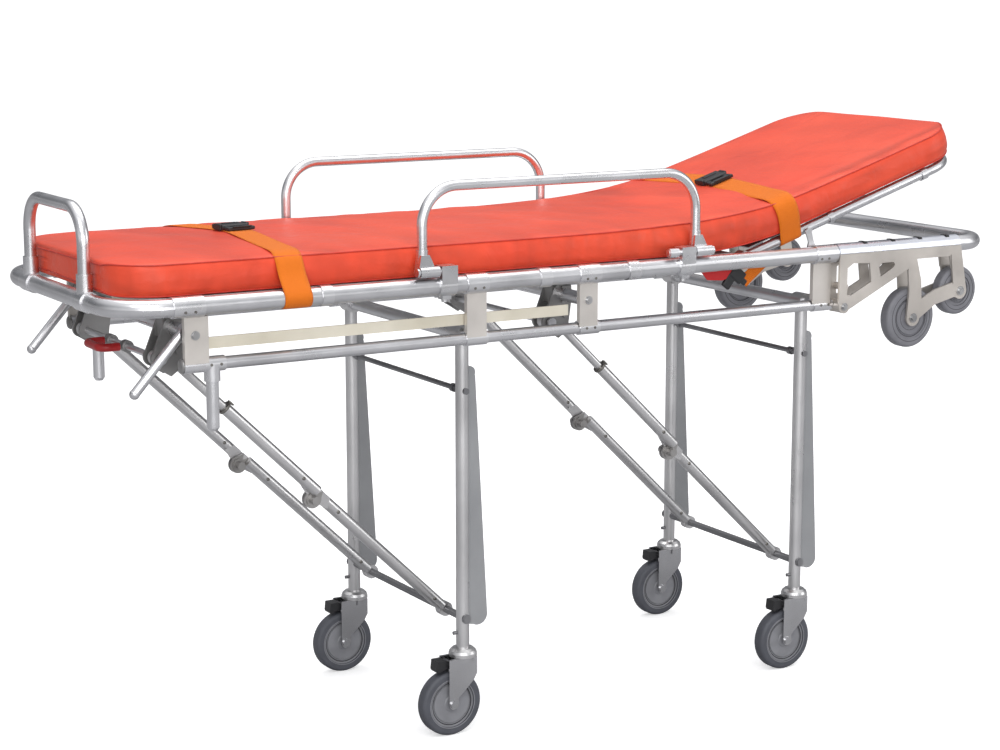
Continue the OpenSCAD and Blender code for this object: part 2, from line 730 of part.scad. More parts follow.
module leg() {
    difference() {
        union() {
            rod_y(leg_y - 17, leg_y + 17, 0, lower_z, leg_hub_r);
            rod_z(cap_z1, lower_z, 0, leg_y, leg_r);
        }
        rod_z(cap_z1 - 1, lower_z - leg_hub_r, 0, leg_y, leg_r - wall);
        rod_y(leg_y - 18, leg_y + 18, 0, lower_z, leg_axle_r + run_gap);
        rod_y(leg_y - 18, leg_y, 0, stay_rod_z, stay_rod_r);
        rod_y(leg_y - 18, leg_y + 18, 0, strut_foot[1], foot_rod_r);
    }
    translate([0, leg_y, 0]) leg_cap();
    // web plate behind the leg
    difference() {
        plate(leg_y - 2, leg_y + 2) {
            polygon([
                [0, 700], [leg_r + 10, 700], [leg_r + 15, 684], [leg_r + 40, 226], [leg_r + 24, 205], [0, 212]
            ]);
            translate([leg_r + 3, 692]) circle(12);
            translate([leg_r + 20, 225]) circle(20);
        }
        rod_z(100, 800, 0, leg_y, leg_r);
    }
}

module leg_pair() both_sides() leg();

// Cross rods between the two legs of a pair, with their bolt ends outside the right leg
module leg_rods() {
    inner = leg_y - leg_r + 1;
    rod_y(-inner, inner, 0, stay_rod_z, stay_rod_r);
    both_sides() rod_y(inner - 24, inner - 14, 0, stay_rod_z, stay_rod_r + 3);
    rod_y(-leg_y - 18, leg_y + 18, 0, strut_foot[1], foot_rod_r);
    both_sides() {
        rod_y(leg_y + leg_r, leg_y + leg_r + 4, 0, strut_foot[1], 9);
        rod_y(leg_y + leg_r, leg_y + leg_r + 5, 0, stay_rod_z, 6);
        rod_x(-leg_r - 8, -leg_r, leg_y, 196, 3.5);
    }
}

module foot_legs() color("silver") translate([foot_leg_x, 0, 0]) leg_pair();
module head_legs() color("silver") translate([head_leg_x, 0, 0]) leg_pair();
module foot_leg_rods() color("dimgray") translate([foot_leg_x, 0, 0]) leg_rods();
module head_leg_rods() color("dimgray") translate([head_leg_x, 0, 0]) leg_rods();

upper_run = strut_knee - strut_top;
upper_dir = unit(upper_run);
upper_up = [-upper_dir[1], upper_dir[0]];
lower_run = strut_knee - strut_foot;
lower_dir = unit(lower_run);
lower_up = [lower_dir[1], -lower_dir[0]];
upper_line0 = strut_top + knee_drop * upper_up;
upper_line1 = strut_knee + knee_drop * upper_up;
lower_knee_end = strut_knee + knee_drop * lower_up;

// Upper strut; the right hand one is a thin rod that enters a wider tube
module upper_strut(thin) {
    y0 = upper_strut_y - 11;
    y1 = upper_strut_y + 11;
    start = upper_line0 + 10 * upper_dir;
    end = upper_line1 - 8 * upper_dir;
    difference() {
        union() {
            if (thin) {
                bar_xz(start, upper_line0 + (thin_rod_len + 8) * upper_dir, upper_strut_y, thin_rod_r);
                bar_xz(upper_line0 + thin_rod_len * upper_dir, end, upper_strut_y, strut_r);
            } else bar_xz(start, end, upper_strut_y, strut_r);
            rod_y(upper_strut_y - 8, upper_strut_y + 8, strut_top[0], strut_top[1], 13);
            plate(upper_strut_y - 4, upper_strut_y + 4) polygon([
                strut_top + 12 * upper_up, strut_top - 4 * upper_up + 8 * upper_dir,
                upper_line0 + 30 * upper_dir - 6 * upper_up, upper_line0 + 30 * upper_dir + 4 * upper_up,
                upper_line0 + 10 * upper_dir + 6 * upper_up
            ]);
            plate(y0, y0 + 5) {
                translate(strut_knee) circle(lug_r);
                polygon([
                    strut_knee + lug_r * upper_dir, upper_line1 + 9 * upper_up + 6 * upper_dir,
                    upper_line1 + 9 * upper_up - 30 * upper_dir, upper_line1 - 9 * upper_up - 40 * upper_dir,
                    strut_knee - lug_r * upper_dir
                ]);
            }
            rod_y(y0 + 5, y0 + 8, strut_knee[0], strut_knee[1], 13);
            rod_y(y0 + 8, y1 - 1, strut_knee[0], strut_knee[1], 8);
        }
        rod_y(upper_strut_y - 9, upper_strut_y + 9, strut_top[0], strut_top[1], top_pin_r + run_gap);
    }
}

module lower_strut() {
    y0 = lower_strut_y - 11;
    y1 = lower_strut_y + 11;
    along = unit(lower_knee_end - strut_foot);
    across = [along[1], -along[0]];
    end = lower_knee_end - 8 * along;
    difference() {
        union() {
            bar_xz(strut_foot + 8 * along, end, lower_strut_y, strut_r);
            rod_y(y0 + 2, y1 - 2, strut_foot[0], strut_foot[1], 14);
            plate(y1 - 5, y1) {
                translate(strut_knee) circle(lug_r);
                polygon([
                    strut_knee + lug_r * along, lower_knee_end + 9 * across + 6 * along,
                    lower_knee_end + 9 * across - 30 * along, lower_knee_end - 9 * across - 40 * along,
                    strut_knee - lug_r * along
                ]);
            }
            rod_y(y1 - 8, y1 - 5, strut_knee[0], strut_knee[1], 13);
            rod_y(y0 + 1, y1 - 8, strut_knee[0], strut_knee[1], 8);
        }
        rod_y(y0 - 1, y1 + 1, strut_foot[0], strut_foot[1], foot_rod_r + run_gap);
    }
}

module upper_strut_pair() {
    on_side(left) upper_strut(false);
    on_side(right) upper_strut(true);
}

module foot_upper_struts() color("silver") translate([foot_leg_x, 0, 0]) upper_strut_pair();
module head_upper_struts() color("silver") translate([head_leg_x, 0, 0]) upper_strut_pair();
module foot_lower_struts() color("silver") translate([foot_leg_x, 0, 0]) both_sides() lower_strut();
module head_lower_struts() color("silver") translate([head_leg_x, 0, 0]) both_sides() lower_strut();

// ---------- castors ----------

module at_leg(x, s) translate([x, s * leg_y, 0]) children();

module cheek_outline() {
    polygon([
        [-trail - 10, crown_z1], [20, crown_z1], [20, 118], [12, 104], [-trail + 10, 74],
        [-trail + 10, wheel_r], [-trail - 10, wheel_r]
    ]);
    translate([-trail, wheel_r]) circle(10);
}

module castor_fork() {
    for (y = [-cheek_y0 - cheek_t, cheek_y0]) plate(y, y + cheek_t) cheek_outline();
    difference() {
        translate([-trail - 6, -cheek_y0, crown_z0]) cube([trail + 26, 2 * cheek_y0, crown_z1 - crown_z0]);
        // room for the brake between the cheeks
        translate([-trail - 7, -14, crown_z0 - 1]) cube([14, 28, 20]);
    }
    rod_z(crown_z0, crown_z1, 0, 0, 24);
    rod_z(crown_z1, cap_z1 - 4, 0, 0, king_r);
    rod_y(-cheek_y0 - cheek_t - 2, cheek_y0 + cheek_t + 2, -trail, wheel_r, axle_r);
    for (y = [-cheek_y0 - cheek_t - 4, cheek_y0 + cheek_t]) rod_y(y, y + 4, -trail, wheel_r, 8);
    rod_y(-cheek_y0, cheek_y0, brake_pin[0], brake_pin[1], brake_pin_r);
}

module castor_brake() difference() {
    union() {
        rod_y(-13, 13, brake_pin[0], brake_pin[1], 6);
        plate(-13, 13) polygon([[-38, 133.5], [-61, 127], [-63, 131], [-61, 149], [-44, 149], [-36, 145]]);
    }
    rod_y(-14, 14, brake_pin[0], brake_pin[1], brake_pin_r + run_gap);
}

module castor_hub() translate([-trail, 0, wheel_r]) rotate([90, 0, 0])
    rotate_extrude() hub_section(axle_r + run_gap, hub_r, hub_w);

module castor_tyre() translate([-trail, 0, wheel_r]) rotate([90, 0, 0])
    rotate_extrude() tyre_section(hub_r, wheel_r, tyre_w);

module castor_fork_foot_left() color("silver") at_leg(foot_leg_x, left) castor_fork();
module castor_fork_foot_right() color("silver") at_leg(foot_leg_x, right) castor_fork();
module castor_fork_head_left() color("silver") at_leg(head_leg_x, left) castor_fork();
module castor_fork_head_right() color("silver") at_leg(head_leg_x, right) castor_fork();
module castor_brake_foot_left() color("black") at_leg(foot_leg_x, left) castor_brake();
module castor_brake_foot_right() color("black") at_leg(foot_leg_x, right) castor_brake();
module castor_brake_head_left() color("black") at_leg(head_leg_x, left) castor_brake();
module castor_brake_head_right() color("black") at_leg(head_leg_x, right) castor_brake();
module castor_hub_foot_left() color("gray") at_leg(foot_leg_x, left) castor_hub();
module castor_hub_foot_right() color("gray") at_leg(foot_leg_x, right) castor_hub();
module castor_hub_head_left() color("gray") at_leg(head_leg_x, left) castor_hub();
module castor_hub_head_right() color("gray") at_leg(head_leg_x, right) castor_hub();
module castor_tyre_foot_left() color("dimgray") at_leg(foot_leg_x, left) castor_tyre();
module castor_tyre_foot_right() color("dimgray") at_leg(foot_leg_x, right) castor_tyre();
module castor_tyre_head_left() color("dimgray") at_leg(head_leg_x, left) castor_tyre();
module castor_tyre_head_right() color("dimgray") at_leg(head_leg_x, right) castor_tyre();

// ---------- nodes ----------

centred() side_rails();
centred() foot_end_tube();
centred() head_end_tube();
centred() rail_sleeves();
centred() lower_rails();
centred() lower_sleeves();
centred() link_plates();
centred() frame_fasteners();
centred() cross_tubes();
centred() latch_housings();
centred() bed_cross_tubes();
centred() bed_panel();
centred() foot_loop();
centred() ratchet_strips();
centred() loading_brackets();
centred() guard_clamps();
centred() mattress_seat();
centred() leg_strap();
centred() mattress_flap();
centred() backrest_frame();
centred() backrest_panel();
centred() mattress_back();
centred() chest_strap();
centred() backrest_props();
centred() guard_left();
centred() guard_right();
centred() lever_left();
centred() lever_right();
centred() link_bar_left();
centred() link_bar_right();
centred() release_handle();
centred() release_grip();
centred() foot_legs();
centred() foot_leg_rods();
centred() head_legs();
centred() head_leg_rods();
centred() foot_upper_struts();
centred() foot_lower_struts();
centred() head_upper_struts();
centred() head_lower_struts();
centred() castor_fork_foot_left();
centred() castor_fork_foot_right();
centred() castor_fork_head_left();
centred() castor_fork_head_right();
centred() castor_brake_foot_left();
centred() castor_brake_foot_right();
centred() castor_brake_head_left();
centred() castor_brake_head_right();
centred() castor_hub_foot_left();
centred() castor_hub_foot_right();
centred() castor_hub_head_left();
centred() castor_hub_head_right();
centred() castor_tyre_foot_left();
centred() castor_tyre_foot_right();
centred() castor_tyre_head_left();
centred() castor_tyre_head_right();
centred() loading_wheel_lower_left();
centred() loading_wheel_lower_right();
centred() loading_wheel_upper_left();
centred() loading_wheel_upper_right();
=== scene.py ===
import math
import bpy
import bmesh
import numpy as np
from mathutils import Vector, Matrix, noise
from mathutils.bvhtree import BVHTree


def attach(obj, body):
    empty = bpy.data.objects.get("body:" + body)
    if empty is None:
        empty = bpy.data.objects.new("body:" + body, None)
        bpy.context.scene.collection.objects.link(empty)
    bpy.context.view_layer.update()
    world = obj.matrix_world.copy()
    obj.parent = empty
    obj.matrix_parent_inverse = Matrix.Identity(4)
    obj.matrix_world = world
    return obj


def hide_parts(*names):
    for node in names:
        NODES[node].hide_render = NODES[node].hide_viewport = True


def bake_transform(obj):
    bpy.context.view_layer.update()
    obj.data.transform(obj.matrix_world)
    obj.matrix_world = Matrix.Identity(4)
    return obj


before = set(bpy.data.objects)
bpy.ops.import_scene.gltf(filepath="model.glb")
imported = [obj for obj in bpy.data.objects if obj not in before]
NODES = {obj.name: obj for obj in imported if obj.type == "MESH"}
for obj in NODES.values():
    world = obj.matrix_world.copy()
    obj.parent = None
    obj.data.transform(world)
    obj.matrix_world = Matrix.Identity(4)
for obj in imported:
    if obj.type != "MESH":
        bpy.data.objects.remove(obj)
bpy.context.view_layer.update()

# ---------------------------------------------------------------- places, in metres
MID = 0.034                 # the X that places along the trolley are measured from
OUT = {"left": 1.0, "right": -1.0}
RAIL_Y, RAIL_Z, RAIL_R = 0.288, 0.868, 0.016
LOWER_RAIL_Y, LOWER_RAIL_Z, LOWER_RAIL_FOOT = 0.274, 0.765, -0.872 + MID
HINGE = Vector((0.320 + MID, 0.0, 0.868))
BACK = math.radians(17.4)   # the backrest's rise at rest
BACK_TUBE_Y, BACK_TUBE_R = 0.250, 0.010
LEG_X = {"foot": -0.300 + MID, "head": 0.490 + MID}
LEG_Y = 0.225
KNEE_X, KNEE_Z, KNEE_R = -0.282, 0.476, 0.0185          # struts are placed from their leg's X
STRUT_TOP, STRUT_FOOT = Vector((-0.580, 0.0, 0.766)), Vector((0.0, 0.0, 0.224))
STRUT_KNEE = Vector((KNEE_X, 0.0, KNEE_Z))
STRUT_LIFT = 0.015          # from the pivots of the upper strut and of the knee to the tube's middle line
STRUT_Y = {"upper": 0.177, "lower": 0.153}
STRUT_FACE = 0.0106         # from a strut's middle line out to the foot of a screw head
RATCHET_X = (0.592, 0.665, 0.736, 0.809)
# the rings tagged dark are painted shade in the wheels' grooves
CASTOR_RINGS = [(0.0415, 0.0010, "dark"), (0.0475, 0.0014, "light")]
LOADING_RINGS = [(0.42, 0.0007, "dark"), (0.64, 0.0009, "dark"), (0.80, 0.0008, "dark")]
LOADING_R = {"lower": 0.062, "upper": 0.0505}

UP = Vector((0, 0, 1))
BACK_UP = Vector((-math.sin(BACK), 0, math.cos(BACK)))
BACK_ALONG = Vector((math.cos(BACK), 0, math.sin(BACK)))


def back_point(s, y, n):
    """A place on the backrest: s along it from the hinge, n square to it."""
    c, k = math.cos(BACK), math.sin(BACK)
    return Vector((HINGE.x + s * c - n * k, y, HINGE.z + s * k + n * c))


# ---------------------------------------------------------------- shader nodes
def node(nt, kind, **values):
    n = nt.nodes.new(kind)
    for key, value in values.items():
        if key.startswith("in_"):
            n.inputs[key[3:].replace("_", " ")].default_value = value
        else:
            setattr(n, key, value)
    return n


def new_material(name, colour, rough, metal=0.0, **sockets):
    m = bpy.data.materials.new(name)
    m.use_nodes = True
    shader = m.node_tree.nodes["Principled BSDF"]
    shader.inputs["Base Color"].default_value = (*colour, 1.0)
    shader.inputs["Roughness"].default_value = rough
    shader.inputs["Metallic"].default_value = metal
    for key, value in sockets.items():
        shader.inputs[key.replace("_", " ")].default_value = value
    return m, m.node_tree, shader


def ramp(nt, value, stops):
    """Colours by a value: stops is [(value, colour)]."""
    n = nt.nodes.new("ShaderNodeValToRGB")
    nt.links.new(value, n.inputs[0])
    elements = n.color_ramp.elements
    for element, (at, colour) in ((elements[0], stops[0]), (elements[1], stops[-1])):
        element.position = at
        element.color = (*colour, 1.0)
    for at, colour in stops[1:-1]:
        elements.new(at).color = (*colour, 1.0)
    return n.outputs["Color"]


def mix_shaders(nt, share, first, second):
    n = nt.nodes.new("ShaderNodeMixShader")
    for i, source in enumerate((share, first, second)):
        nt.links.new(source, n.inputs[i])
    return n.outputs[0]


# ---------------------------------------------------------------- camera, floor, world, light
def make_camera():
    data = bpy.data.cameras.new("camera")
    data.lens = 79.2
    data.sensor_width = 36.0
    data.clip_end = 400.0
    cam = bpy.data.objects.new("camera", data)
    cam.location = (-2.280 + MID, -3.695, 1.428)
    cam.rotation_euler = (math.radians(79.51), 0.0, math.radians(-30.72))
    bpy.context.scene.collection.objects.link(cam)
    bpy.context.scene.camera = cam


def make_floor():
    bpy.ops.mesh.primitive_plane_add(size=240.0, location=(0.0, 0.0, 0.0))
    floor = bpy.context.object
    floor.name = "studio_floor"
    m, nt, shader = new_material("studio_floor", (0.85, 0.85, 0.85), 0.9, Specular_IOR_Level=0.1,
                                 Emission_Color=(1.0, 1.0, 1.0, 1.0), Emission_Strength=0.50)
    # what the metal mirrors of the floor is grey, so that the tubes keep their dark sides
    grey = node(nt, "ShaderNodeBsdfDiffuse", in_Color=(0.42, 0.42, 0.43, 1.0))
    camera_ray = nt.nodes.new("ShaderNodeLightPath").outputs["Is Camera Ray"]
    above = mix_shaders(nt, camera_ray, grey.outputs[0], shader.outputs[0])
    # seen from below, the floor is clear
    from_below = nt.nodes.new("ShaderNodeNewGeometry").outputs["Backfacing"]
    clear = nt.nodes.new("ShaderNodeBsdfTransparent")
    both = mix_shaders(nt, from_below, above, clear.outputs[0])
    nt.links.new(both, nt.nodes["Material Output"].inputs["Surface"])
    floor.data.materials.append(m)


def make_world():
    """White for the camera. The metal mirrors a brighter side at the camera and a darker one behind."""
    world = bpy.data.worlds.new("studio")
    bpy.context.scene.world = world
    world.use_nodes = True
    nt = world.node_tree
    direction = nt.nodes.new("ShaderNodeTexCoord").outputs["Generated"]
    split = nt.nodes.new("ShaderNodeSeparateXYZ")
    nt.links.new(direction, split.inputs[0])
    height = split.outputs["Z"]
    front = ramp(nt, height, [
        (0.0, (1.0, 1.0, 1.0)), (0.13, (1.0, 1.0, 1.02)), (0.30, (0.55, 0.56, 0.58)),
        (0.50, (0.42, 0.43, 0.45)), (0.72, (0.88, 0.88, 0.90)), (1.0, (0.95, 0.95, 0.95))])
    back = ramp(nt, height, [
        (0.0, (0.50, 0.50, 0.51)), (0.07, (0.36, 0.36, 0.37)), (0.18, (0.13, 0.135, 0.145)),
        (0.45, (0.26, 0.265, 0.28)), (0.68, (0.80, 0.80, 0.82)), (1.0, (0.95, 0.95, 0.95))])
    toward = node(nt, "ShaderNodeVectorMath", operation="DOT_PRODUCT")
    toward.inputs[1].default_value = (-0.52, -0.85, 0.0)
    nt.links.new(direction, toward.inputs[0])
    share = node(nt, "ShaderNodeMapRange", interpolation_type="SMOOTHSTEP",
                 in_From_Min=-0.15, in_From_Max=0.75)
    nt.links.new(toward.outputs["Value"], share.inputs["Value"])
    both = node(nt, "ShaderNodeMix", data_type="RGBA")
    nt.links.new(share.outputs["Result"], both.inputs[0])
    nt.links.new(back, both.inputs[6])
    nt.links.new(front, both.inputs[7])
    mirrored = nt.nodes["Background"]
    nt.links.new(both.outputs[2], mirrored.inputs["Color"])
    mirrored.inputs["Strength"].default_value = 1.05
    white = node(nt, "ShaderNodeBackground", in_Color=(1.0, 1.0, 1.0, 1.0), in_Strength=1.0)
    camera_ray = nt.nodes.new("ShaderNodeLightPath").outputs["Is Camera Ray"]
    surface = mix_shaders(nt, camera_ray, mirrored.outputs[0], white.outputs[0])
    nt.links.new(surface, nt.nodes["World Output"].inputs["Surface"])


def area_light(name, place, target, size, power):
    data = bpy.data.lights.new(name, "AREA")
    data.shape = "RECTANGLE"
    data.size, data.size_y = size
    data.energy = power
    light = bpy.data.objects.new(name, data)
    light.location = place
    light.rotation_euler = (Vector(target) - Vector(place)).to_track_quat("-Z", "Y").to_euler()
    bpy.context.scene.collection.objects.link(light)


def make_stage():
    make_camera()
    make_floor()
    make_world()
    area_light("key", (-2.6, -3.2, 4.2), (0.0, 0.0, 0.8), (3.0, 2.0), 72.0)
    area_light("top", (0.3, 0.6, 4.6), (0.0, 0.0, 0.8), (4.5, 2.5), 80.0)
    area_light("fill", (3.6, -2.6, 2.0), (0.2, 0.0, 0.7), (2.5, 2.5), 38.0)
    area_light("front", (-1.6, -4.6, 1.5), (0.0, 0.0, 0.6), (4.5, 2.0), 62.0)
    bpy.context.scene.view_settings.view_transform = "Standard"


# ---------------------------------------------------------------- materials
def object_coords(nt):
    return nt.nodes.new("ShaderNodeTexCoord").outputs["Object"]


def noise_of(nt, vector, scale, detail, **values):
    tex = node(nt, "ShaderNodeTexNoise", in_Scale=scale, in_Detail=detail, **values)
    nt.links.new(vector, tex.inputs["Vector"])
    return tex.outputs["Fac"]


def vary(nt, shader, socket, vector, scale, low, high):
    """Noise drives a grey socket, such as roughness, between two values."""
    span = node(nt, "ShaderNodeMapRange", in_From_Min=0.3, in_From_Max=0.7, in_To_Min=low, in_To_Max=high)
    nt.links.new(noise_of(nt, vector, scale, 3.0), span.inputs["Value"])
    nt.links.new(span.outputs["Result"], shader.inputs[socket])


def tint(nt, shader, vector, scale, dark, light):
    """Noise between two near colours."""
    colour = ramp(nt, noise_of(nt, vector, scale, 4.0), [(0.35, dark), (0.65, light)])
    nt.links.new(colour, shader.inputs["Base Color"])
    return colour


def bump(nt, height, strength, distance):
    b = node(nt, "ShaderNodeBump", in_Strength=strength, in_Distance=distance)
    nt.links.new(height, b.inputs["Height"])
    return b


def metal(name, dark, light, rough_low, rough_high, metallic=1.0):
    m, nt, shader = new_material(name, light, rough_low, metallic)
    vector = object_coords(nt)
    tint(nt, shader, vector, 7.0, dark, light)
    vary(nt, shader, "Roughness", vector, 16.0, rough_low, rough_high)
    grain = bump(nt, noise_of(nt, vector, 700.0, 2.0), 0.10, 0.0003)
    nt.links.new(grain.outputs["Normal"], shader.inputs["Normal"])
    return m


def plastic(name, colour, rough, scale=900.0, strength=0.15):
    m, nt, shader = new_material(name, colour, rough)
    vector = object_coords(nt)
    tint(nt, shader, vector, 30.0, tuple(c * 0.82 for c in colour), colour)
    grain = bump(nt, noise_of(nt, vector, scale, 2.0), strength, 0.0004)
    nt.links.new(grain.outputs["Normal"], shader.inputs["Normal"])
    return m


def vinyl(name, dark, light):
    m, nt, shader = new_material(name, light, 0.40, Sheen_Weight=0.04, Specular_IOR_Level=0.36,
                                 Sheen_Roughness=0.5)
    vector = object_coords(nt)
    colour = tint(nt, shader, vector, 3.5, dark, light)
    # painted shade and painted light: the bottoms of the folds are painted a little darker than their
    # crests, and the crests a little lighter
    fold = node(nt, "ShaderNodeAttribute", attribute_name="fold_painted_shade")
    depth = node(nt, "ShaderNodeMapRange", in_From_Min=-0.0040, in_From_Max=0.0040,
                 in_To_Min=0.74, in_To_Max=1.26)
    nt.links.new(fold.outputs["Fac"], depth.inputs["Value"])
    shaded = node(nt, "ShaderNodeVectorMath", operation="SCALE")
    nt.links.new(colour, shaded.inputs[0])
    nt.links.new(depth.outputs["Result"], shaded.inputs["Scale"])
    nt.links.new(shaded.outputs[0], shader.inputs["Base Color"])
    vary(nt, shader, "Roughness", vector, 9.0, 0.34, 0.50)
    cells = node(nt, "ShaderNodeTexVoronoi", in_Scale=420.0)
    nt.links.new(vector, cells.inputs["Vector"])
    fine = bump(nt, cells.outputs["Distance"], 0.18, 0.0004)
    broad = bump(nt, noise_of(nt, vector, 14.0, 3.0, in_Distortion=0.8), 0.50, 0.008)
    nt.links.new(fine.outputs["Normal"], broad.inputs["Normal"])
    nt.links.new(broad.outputs["Normal"], shader.inputs["Normal"])
    return m


def webbing(name, dark, light):
    """Woven strap: fine ribs in the strap's own UV."""
    m, nt, shader = new_material(name, light, 0.75, Sheen_Weight=0.05, Specular_IOR_Level=0.25)
    uv = nt.nodes.new("ShaderNodeTexCoord").outputs["UV"]
    both = node(nt, "ShaderNodeMath", operation="MULTIPLY")
    for i, (direction, scale) in enumerate((("X", 0.42), ("Y", 0.30))):
        wave = node(nt, "ShaderNodeTexWave", wave_type="BANDS", bands_direction=direction, in_Scale=scale)
        nt.links.new(uv, wave.inputs["Vector"])
        nt.links.new(wave.outputs["Fac"], both.inputs[i])
    nt.links.new(ramp(nt, both.outputs[0], [(0.0, dark), (0.5, light)]), shader.inputs["Base Color"])
    ribs = bump(nt, both.outputs[0], 0.5, 0.0006)
    nt.links.new(ribs.outputs["Normal"], shader.inputs["Normal"])
    return m


M = {
    "tube": metal("satin_aluminium", (0.60, 0.60, 0.612), (0.74, 0.74, 0.757), 0.24, 0.37),
    "bright": metal("bright_aluminium", (0.68, 0.68, 0.69), (0.80, 0.80, 0.815), 0.22, 0.34),
    "cream": metal("cream_plate", (0.59, 0.555, 0.515), (0.74, 0.70, 0.655), 0.32, 0.46, metallic=0.70),
    "bracket": metal("bracket_plate", (0.50, 0.465, 0.43), (0.68, 0.635, 0.585), 0.34, 0.48, metallic=0.72),
    "link_bar": metal("link_bar_cream", (0.66, 0.61, 0.49), (0.80, 0.75, 0.63), 0.36, 0.48, metallic=0.45),
    "panel": metal("sheet_aluminium", (0.50, 0.50, 0.51), (0.60, 0.60, 0.61), 0.40, 0.52),
    "dark": metal("dark_steel", (0.20, 0.195, 0.19), (0.36, 0.355, 0.35), 0.30, 0.48, metallic=0.85),
    "rod": metal("zinc_rod", (0.22, 0.22, 0.23), (0.32, 0.32, 0.33), 0.34, 0.48),
    "bolt": metal("bolt_steel", (0.16, 0.15, 0.14), (0.26, 0.25, 0.23), 0.34, 0.50),
    "screw": metal("zinc_screw", (0.42, 0.42, 0.42), (0.62, 0.62, 0.62), 0.24, 0.38),
    "knee": metal("knee_steel", (0.34, 0.33, 0.32), (0.50, 0.49, 0.48), 0.32, 0.46, metallic=0.9),
    # the blue tint of the ratchet strips is a painted reflection of the sky
    "sky_tinted_strip": metal("strip_painted_sky_reflection", (0.70, 0.72, 0.78), (0.80, 0.82, 0.88), 0.24, 0.36),
    "leg": metal("leg_aluminium", (0.59, 0.585, 0.585), (0.74, 0.735, 0.735), 0.26, 0.38),
    "web": metal("painted_web", (0.28, 0.285, 0.295), (0.34, 0.345, 0.355), 0.45, 0.60, metallic=0.30),
    "chrome": metal("castor_chrome", (0.54, 0.54, 0.55), (0.66, 0.66, 0.67), 0.13, 0.20),
    "black": plastic("black_plastic", (0.018, 0.018, 0.020), 0.42),
    "disc": plastic("wheel_disc_grey", (0.26, 0.262, 0.28), 0.42),
    "disc_dark": plastic("loading_disc_grey", (0.20, 0.20, 0.22), 0.42),
    "tyre": plastic("tyre_rubber", (0.088, 0.092, 0.108), 0.55, 500.0, 0.35),
    # painted shade for the grooves of the wheels
    "groove_shade_line": plastic("wheel_groove", (0.030, 0.031, 0.036), 0.6),
    "disc_line": plastic("wheel_rim_line", (0.24, 0.24, 0.26), 0.45),
    "grip": plastic("red_grip", (0.43, 0.010, 0.012), 0.34),
    "mattress": vinyl("mattress_vinyl", (0.68, 0.056, 0.022), (0.75, 0.076, 0.030)),
    "flap": vinyl("flap_vinyl", (0.50, 0.012, 0.016), (0.60, 0.022, 0.022)),
    "piping": plastic("piping_vinyl", (0.60, 0.040, 0.020), 0.42),
    "strap": webbing("strap_webbing", (0.62, 0.12, 0.004), (0.88, 0.235, 0.010)),
}

LOOK = {
    "side_rails": "tube", "foot_end_tube": "tube", "head_end_tube": "tube", "rail_sleeves": "bright",
    "lower_rails": "tube", "lower_sleeves": "bright", "link_plates": "cream", "frame_fasteners": "screw",
    "cross_tubes": "tube", "latch_housings": "dark", "bed_cross_tubes": "tube", "bed_panel": "panel",
    "foot_loop": "tube", "ratchet_strips": "sky_tinted_strip", "loading_brackets": "bracket",
    "guard_clamps": "bright",
    "backrest_frame": "tube", "backrest_panel": "panel", "backrest_props": "bright",
    "guard_left": "bright", "guard_right": "bright", "lever_left": "tube", "lever_right": "tube",
    "link_bar_left": "link_bar", "link_bar_right": "link_bar", "release_handle": "dark",
    "release_grip": "grip",
    "foot_legs": "leg", "foot_leg_rods": "rod", "head_legs": "leg", "head_leg_rods": "rod",
    "foot_upper_struts": "leg", "foot_lower_struts": "leg", "head_upper_struts": "leg",
    "head_lower_struts": "leg", "mattress_flap": "flap", "mattress_seat": "mattress",
    "mattress_back": "mattress", "leg_strap": "strap", "chest_strap": "strap",
}
LOOK_BY_START = {"castor_fork": "chrome", "castor_brake": "black", "castor_hub": "disc",
                 "castor_tyre": "tyre", "loading_wheel": "disc_dark"}
for name, obj in NODES.items():
    look = LOOK.get(name) or next(v for start, v in LOOK_BY_START.items() if name.startswith(start))
    for slot in obj.material_slots:
        slot.material = M[look]


def paint(name, test, material):
    """Gives the faces of a CAD node whose middle passes the test their own material."""
    mesh = NODES[name].data
    mesh.materials.append(material)
    last = len(mesh.materials) - 1
    for face in mesh.polygons:
        if test(face.center):
            face.material_index = last


# the rivets in the sleeves of the rails, and of the lower rails, are dark
paint("frame_fasteners", lambda c: 0.857 < c.z < 0.866 or (0.762 < c.z < 0.769 and abs(c.y) < 0.289),
      M["bolt"])
# so are the web plates of the legs; the brackets at the struts' knees are darker than their tubes
for end, leg_x in LEG_X.items():
    paint(end + "_legs", lambda c: c.x > leg_x + 0.0129 and c.z < 0.72 and abs(abs(c.y) - LEG_Y) < 0.0024,
          M["web"])
    for which in STRUT_Y:
        paint("%s_%s_struts" % (end, which),
              lambda c: math.hypot(c.x - leg_x - KNEE_X, c.z - KNEE_Z) < KNEE_R, M["knee"])


# ---------------------------------------------------------------- mesh helpers
def make_mesh(name, verts, faces, material, uvs=None, smooth=True):
    mesh = bpy.data.meshes.new(name)
    mesh.from_pydata([tuple(v) for v in verts], [], faces)
    mesh.update()
    if uvs is not None:
        layer = mesh.uv_layers.new(name="UVMap")
        for loop in mesh.loops:
            layer.data[loop.index].uv = uvs[loop.vertex_index]
    obj = bpy.data.objects.new(name, mesh)
    bpy.context.scene.collection.objects.link(obj)
    mesh.materials.append(material)
    if smooth:
        mesh.polygons.foreach_set("use_smooth", [True] * len(mesh.polygons))
    return obj


def join_parts(name, parts, material, smooth=True):
    """Several (verts, faces) lists as one mesh."""
    verts, faces = [], []
    for vs, fs in parts:
        base = len(verts)
        verts.extend(vs)
        faces.extend([tuple(i + base for i in f) for f in fs])
    return make_mesh(name, verts, faces, material, smooth=smooth)


def mesh_tree(mesh):
    return BVHTree.FromPolygons([v.co.copy() for v in mesh.vertices],
                                [tuple(p.vertices) for p in mesh.polygons])


def ring_faces(rings, width, closed=False):
    """Faces between rings of width points each."""
    faces = []
    for i in range(rings if closed else rings - 1):
        j = (i + 1) % rings
        for k in range(width):
            m = (k + 1) % width
            faces.append((i * width + k, i * width + m, j * width + m, j * width + k))
    return faces


